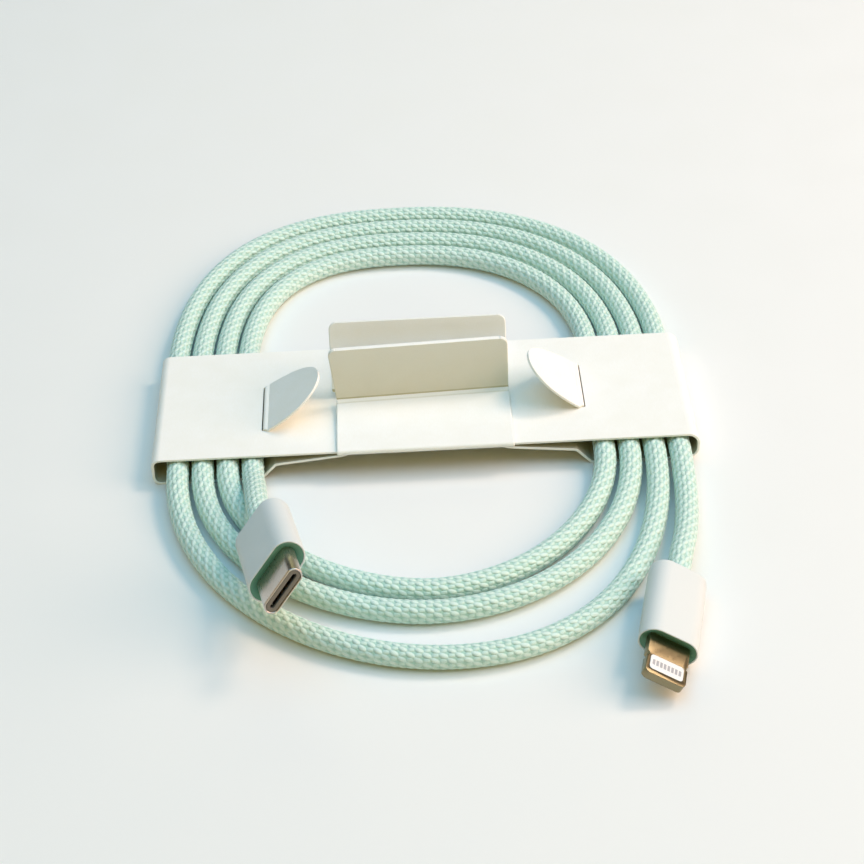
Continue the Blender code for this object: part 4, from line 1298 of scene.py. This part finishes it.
class CABLE_OT_finish_small_parts(bpy.types.Operator):
    """Give the small parts of both plugs their finishes"""
    bl_idname = "charging_cable.finish_small_parts"
    bl_label = "Finish small parts"

    def execute(self, context):
        gold = brushed_metal("gold_contact", (0.80, 0.60, 0.30), 0.3, OVAL_TURN)
        grey = speckled_finish(
            "grey_contact", (0.52, 0.54, 0.57), (0.44, 0.46, 0.49), 0.35, 5000.0, metallic=0.3,
        )
        copper = brushed_metal("copper", (0.74, 0.38, 0.22), 0.35, OVAL_TURN)
        black = speckled_finish("black_insulator", (0.018, 0.018, 0.02), (0.03, 0.03, 0.032), 0.45, 4000.0)
        board = speckled_finish("green_board", (0.04, 0.20, 0.09), (0.07, 0.28, 0.13), 0.45, 1500.0)
        bush = speckled_finish("soft_bush", (0.80, 0.82, 0.81), (0.74, 0.76, 0.75), 0.5, 3000.0)
        wires = [
            speckled_finish(name, colour, [0.8 * part for part in colour], 0.45, 2500.0)
            for name, colour in (
                ("red_wire", (0.55, 0.04, 0.04)), ("black_wire", (0.02, 0.02, 0.02)),
                ("green_wire", (0.05, 0.35, 0.10)), ("white_wire", (0.85, 0.85, 0.82)),
            )
        ]
        for name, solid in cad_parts.items():
            if solid.hide_render:
                continue
            finish = bush
            if "contact" in name:
                finish = gold if name.startswith("oval") else grey
            elif "latch" in name:
                finish = grey
            elif "insulator" in name or "chip" in name:
                finish = black
            elif "board" in name:
                finish = board
            elif "crimp" in name:
                finish = copper
            elif "wire" in name:
                finish = wires[int(name[-1]) - 1]
            for place in solid.material_slots:
                place.material = finish
        return {"FINISHED"}


class CABLE_OT_make_cable(bpy.types.Operator):
    """Lay the braided cable from the oval plug, round the coil, to the blade plug"""
    bl_idname = "charging_cable.make_cable"
    bl_label = "Make cable"

    def execute(self, context):
        settings = context.scene.cable_settings
        route = cable_route(settings.braid_row / 2)
        cable = braided_tube("braided_cable", route, settings)
        dress(cable, mint_braid(settings), "band", "mint_braid", "cable_coil", "oval_lead", "blade_lead")
        return {"FINISHED"}


class CABLE_OT_make_stage(bpy.types.Operator):
    """Make the pale floor, the soft lights and the camera"""
    bl_idname = "charging_cable.make_stage"
    bl_label = "Make stage"

    def execute(self, context):
        settings = context.scene.stage_settings
        corners = [(x * FLOOR_HALF, y * FLOOR_HALF, 0.0) for x, y in ((-1, -1), (1, -1), (1, 1), (-1, 1))]
        floor = link_mesh("floor", corners, [(0, 1, 2, 3)])
        tone = [0.985 * part for part in settings.floor]
        floor.data.materials.append(speckled_finish("pale_floor", settings.floor, tone, 0.6, 900.0))
        for name, place, size in LAMPS:
            add_lamp(name, Vector(place), size, getattr(settings, name), getattr(settings, name + "_power"))
        room = bpy.data.worlds.new("room")
        room.use_nodes = True
        backdrop = room.node_tree.nodes["Background"]
        backdrop.inputs["Color"].default_value = (*settings.room, 1.0)
        backdrop.inputs["Strength"].default_value = settings.room_strength
        context.scene.world = room
        context.scene.view_settings.view_transform = "Standard"
        add_camera()
        return {"FINISHED"}


class CABLE_PT_panel(bpy.types.Panel):
    """Lists the steps that make the cable"""
    bl_idname = "CABLE_PT_panel"
    bl_label = "Charging cable"
    bl_space_type = "VIEW_3D"
    bl_region_type = "UI"
    bl_category = "Cable"

    def draw(self, context):
        for step in STEPS:
            self.layout.operator(step.bl_idname)
        for group in GROUPS:
            box = self.layout.box()
            settings = getattr(context.scene, group)
            for name in settings.__annotations__:
                box.prop(settings, name)


GROUPS = {
    "cable_settings": CableSettings,
    "card_settings": CardSettings,
    "plug_settings": PlugSettings,
    "stage_settings": StageSettings,
}
STEPS = (
    CABLE_OT_make_stage, CABLE_OT_make_band, CABLE_OT_make_flaps, CABLE_OT_make_tongues,
    CABLE_OT_make_oval_plug, CABLE_OT_make_blade_plug, CABLE_OT_make_cable, CABLE_OT_finish_small_parts,
)


def register():
    """Register the settings, the steps and the panel."""
    for name, group in GROUPS.items():
        bpy.utils.register_class(group)
        setattr(bpy.types.Scene, name, PointerProperty(type=group))
    for step in (*STEPS, CABLE_PT_panel):
        bpy.utils.register_class(step)


def unregister():
    """Remove the panel, the steps and the settings."""
    for step in (CABLE_PT_panel, *reversed(STEPS)):
        bpy.utils.unregister_class(step)
    for name, group in reversed(GROUPS.items()):
        delattr(bpy.types.Scene, name)
        bpy.utils.unregister_class(group)


def main():
    """Make every piece in order."""
    register()
    for step in STEPS:
        prefix, name = step.bl_idname.split(".")
        getattr(getattr(bpy.ops, prefix), name)()


if __name__ == "__main__":
    main()
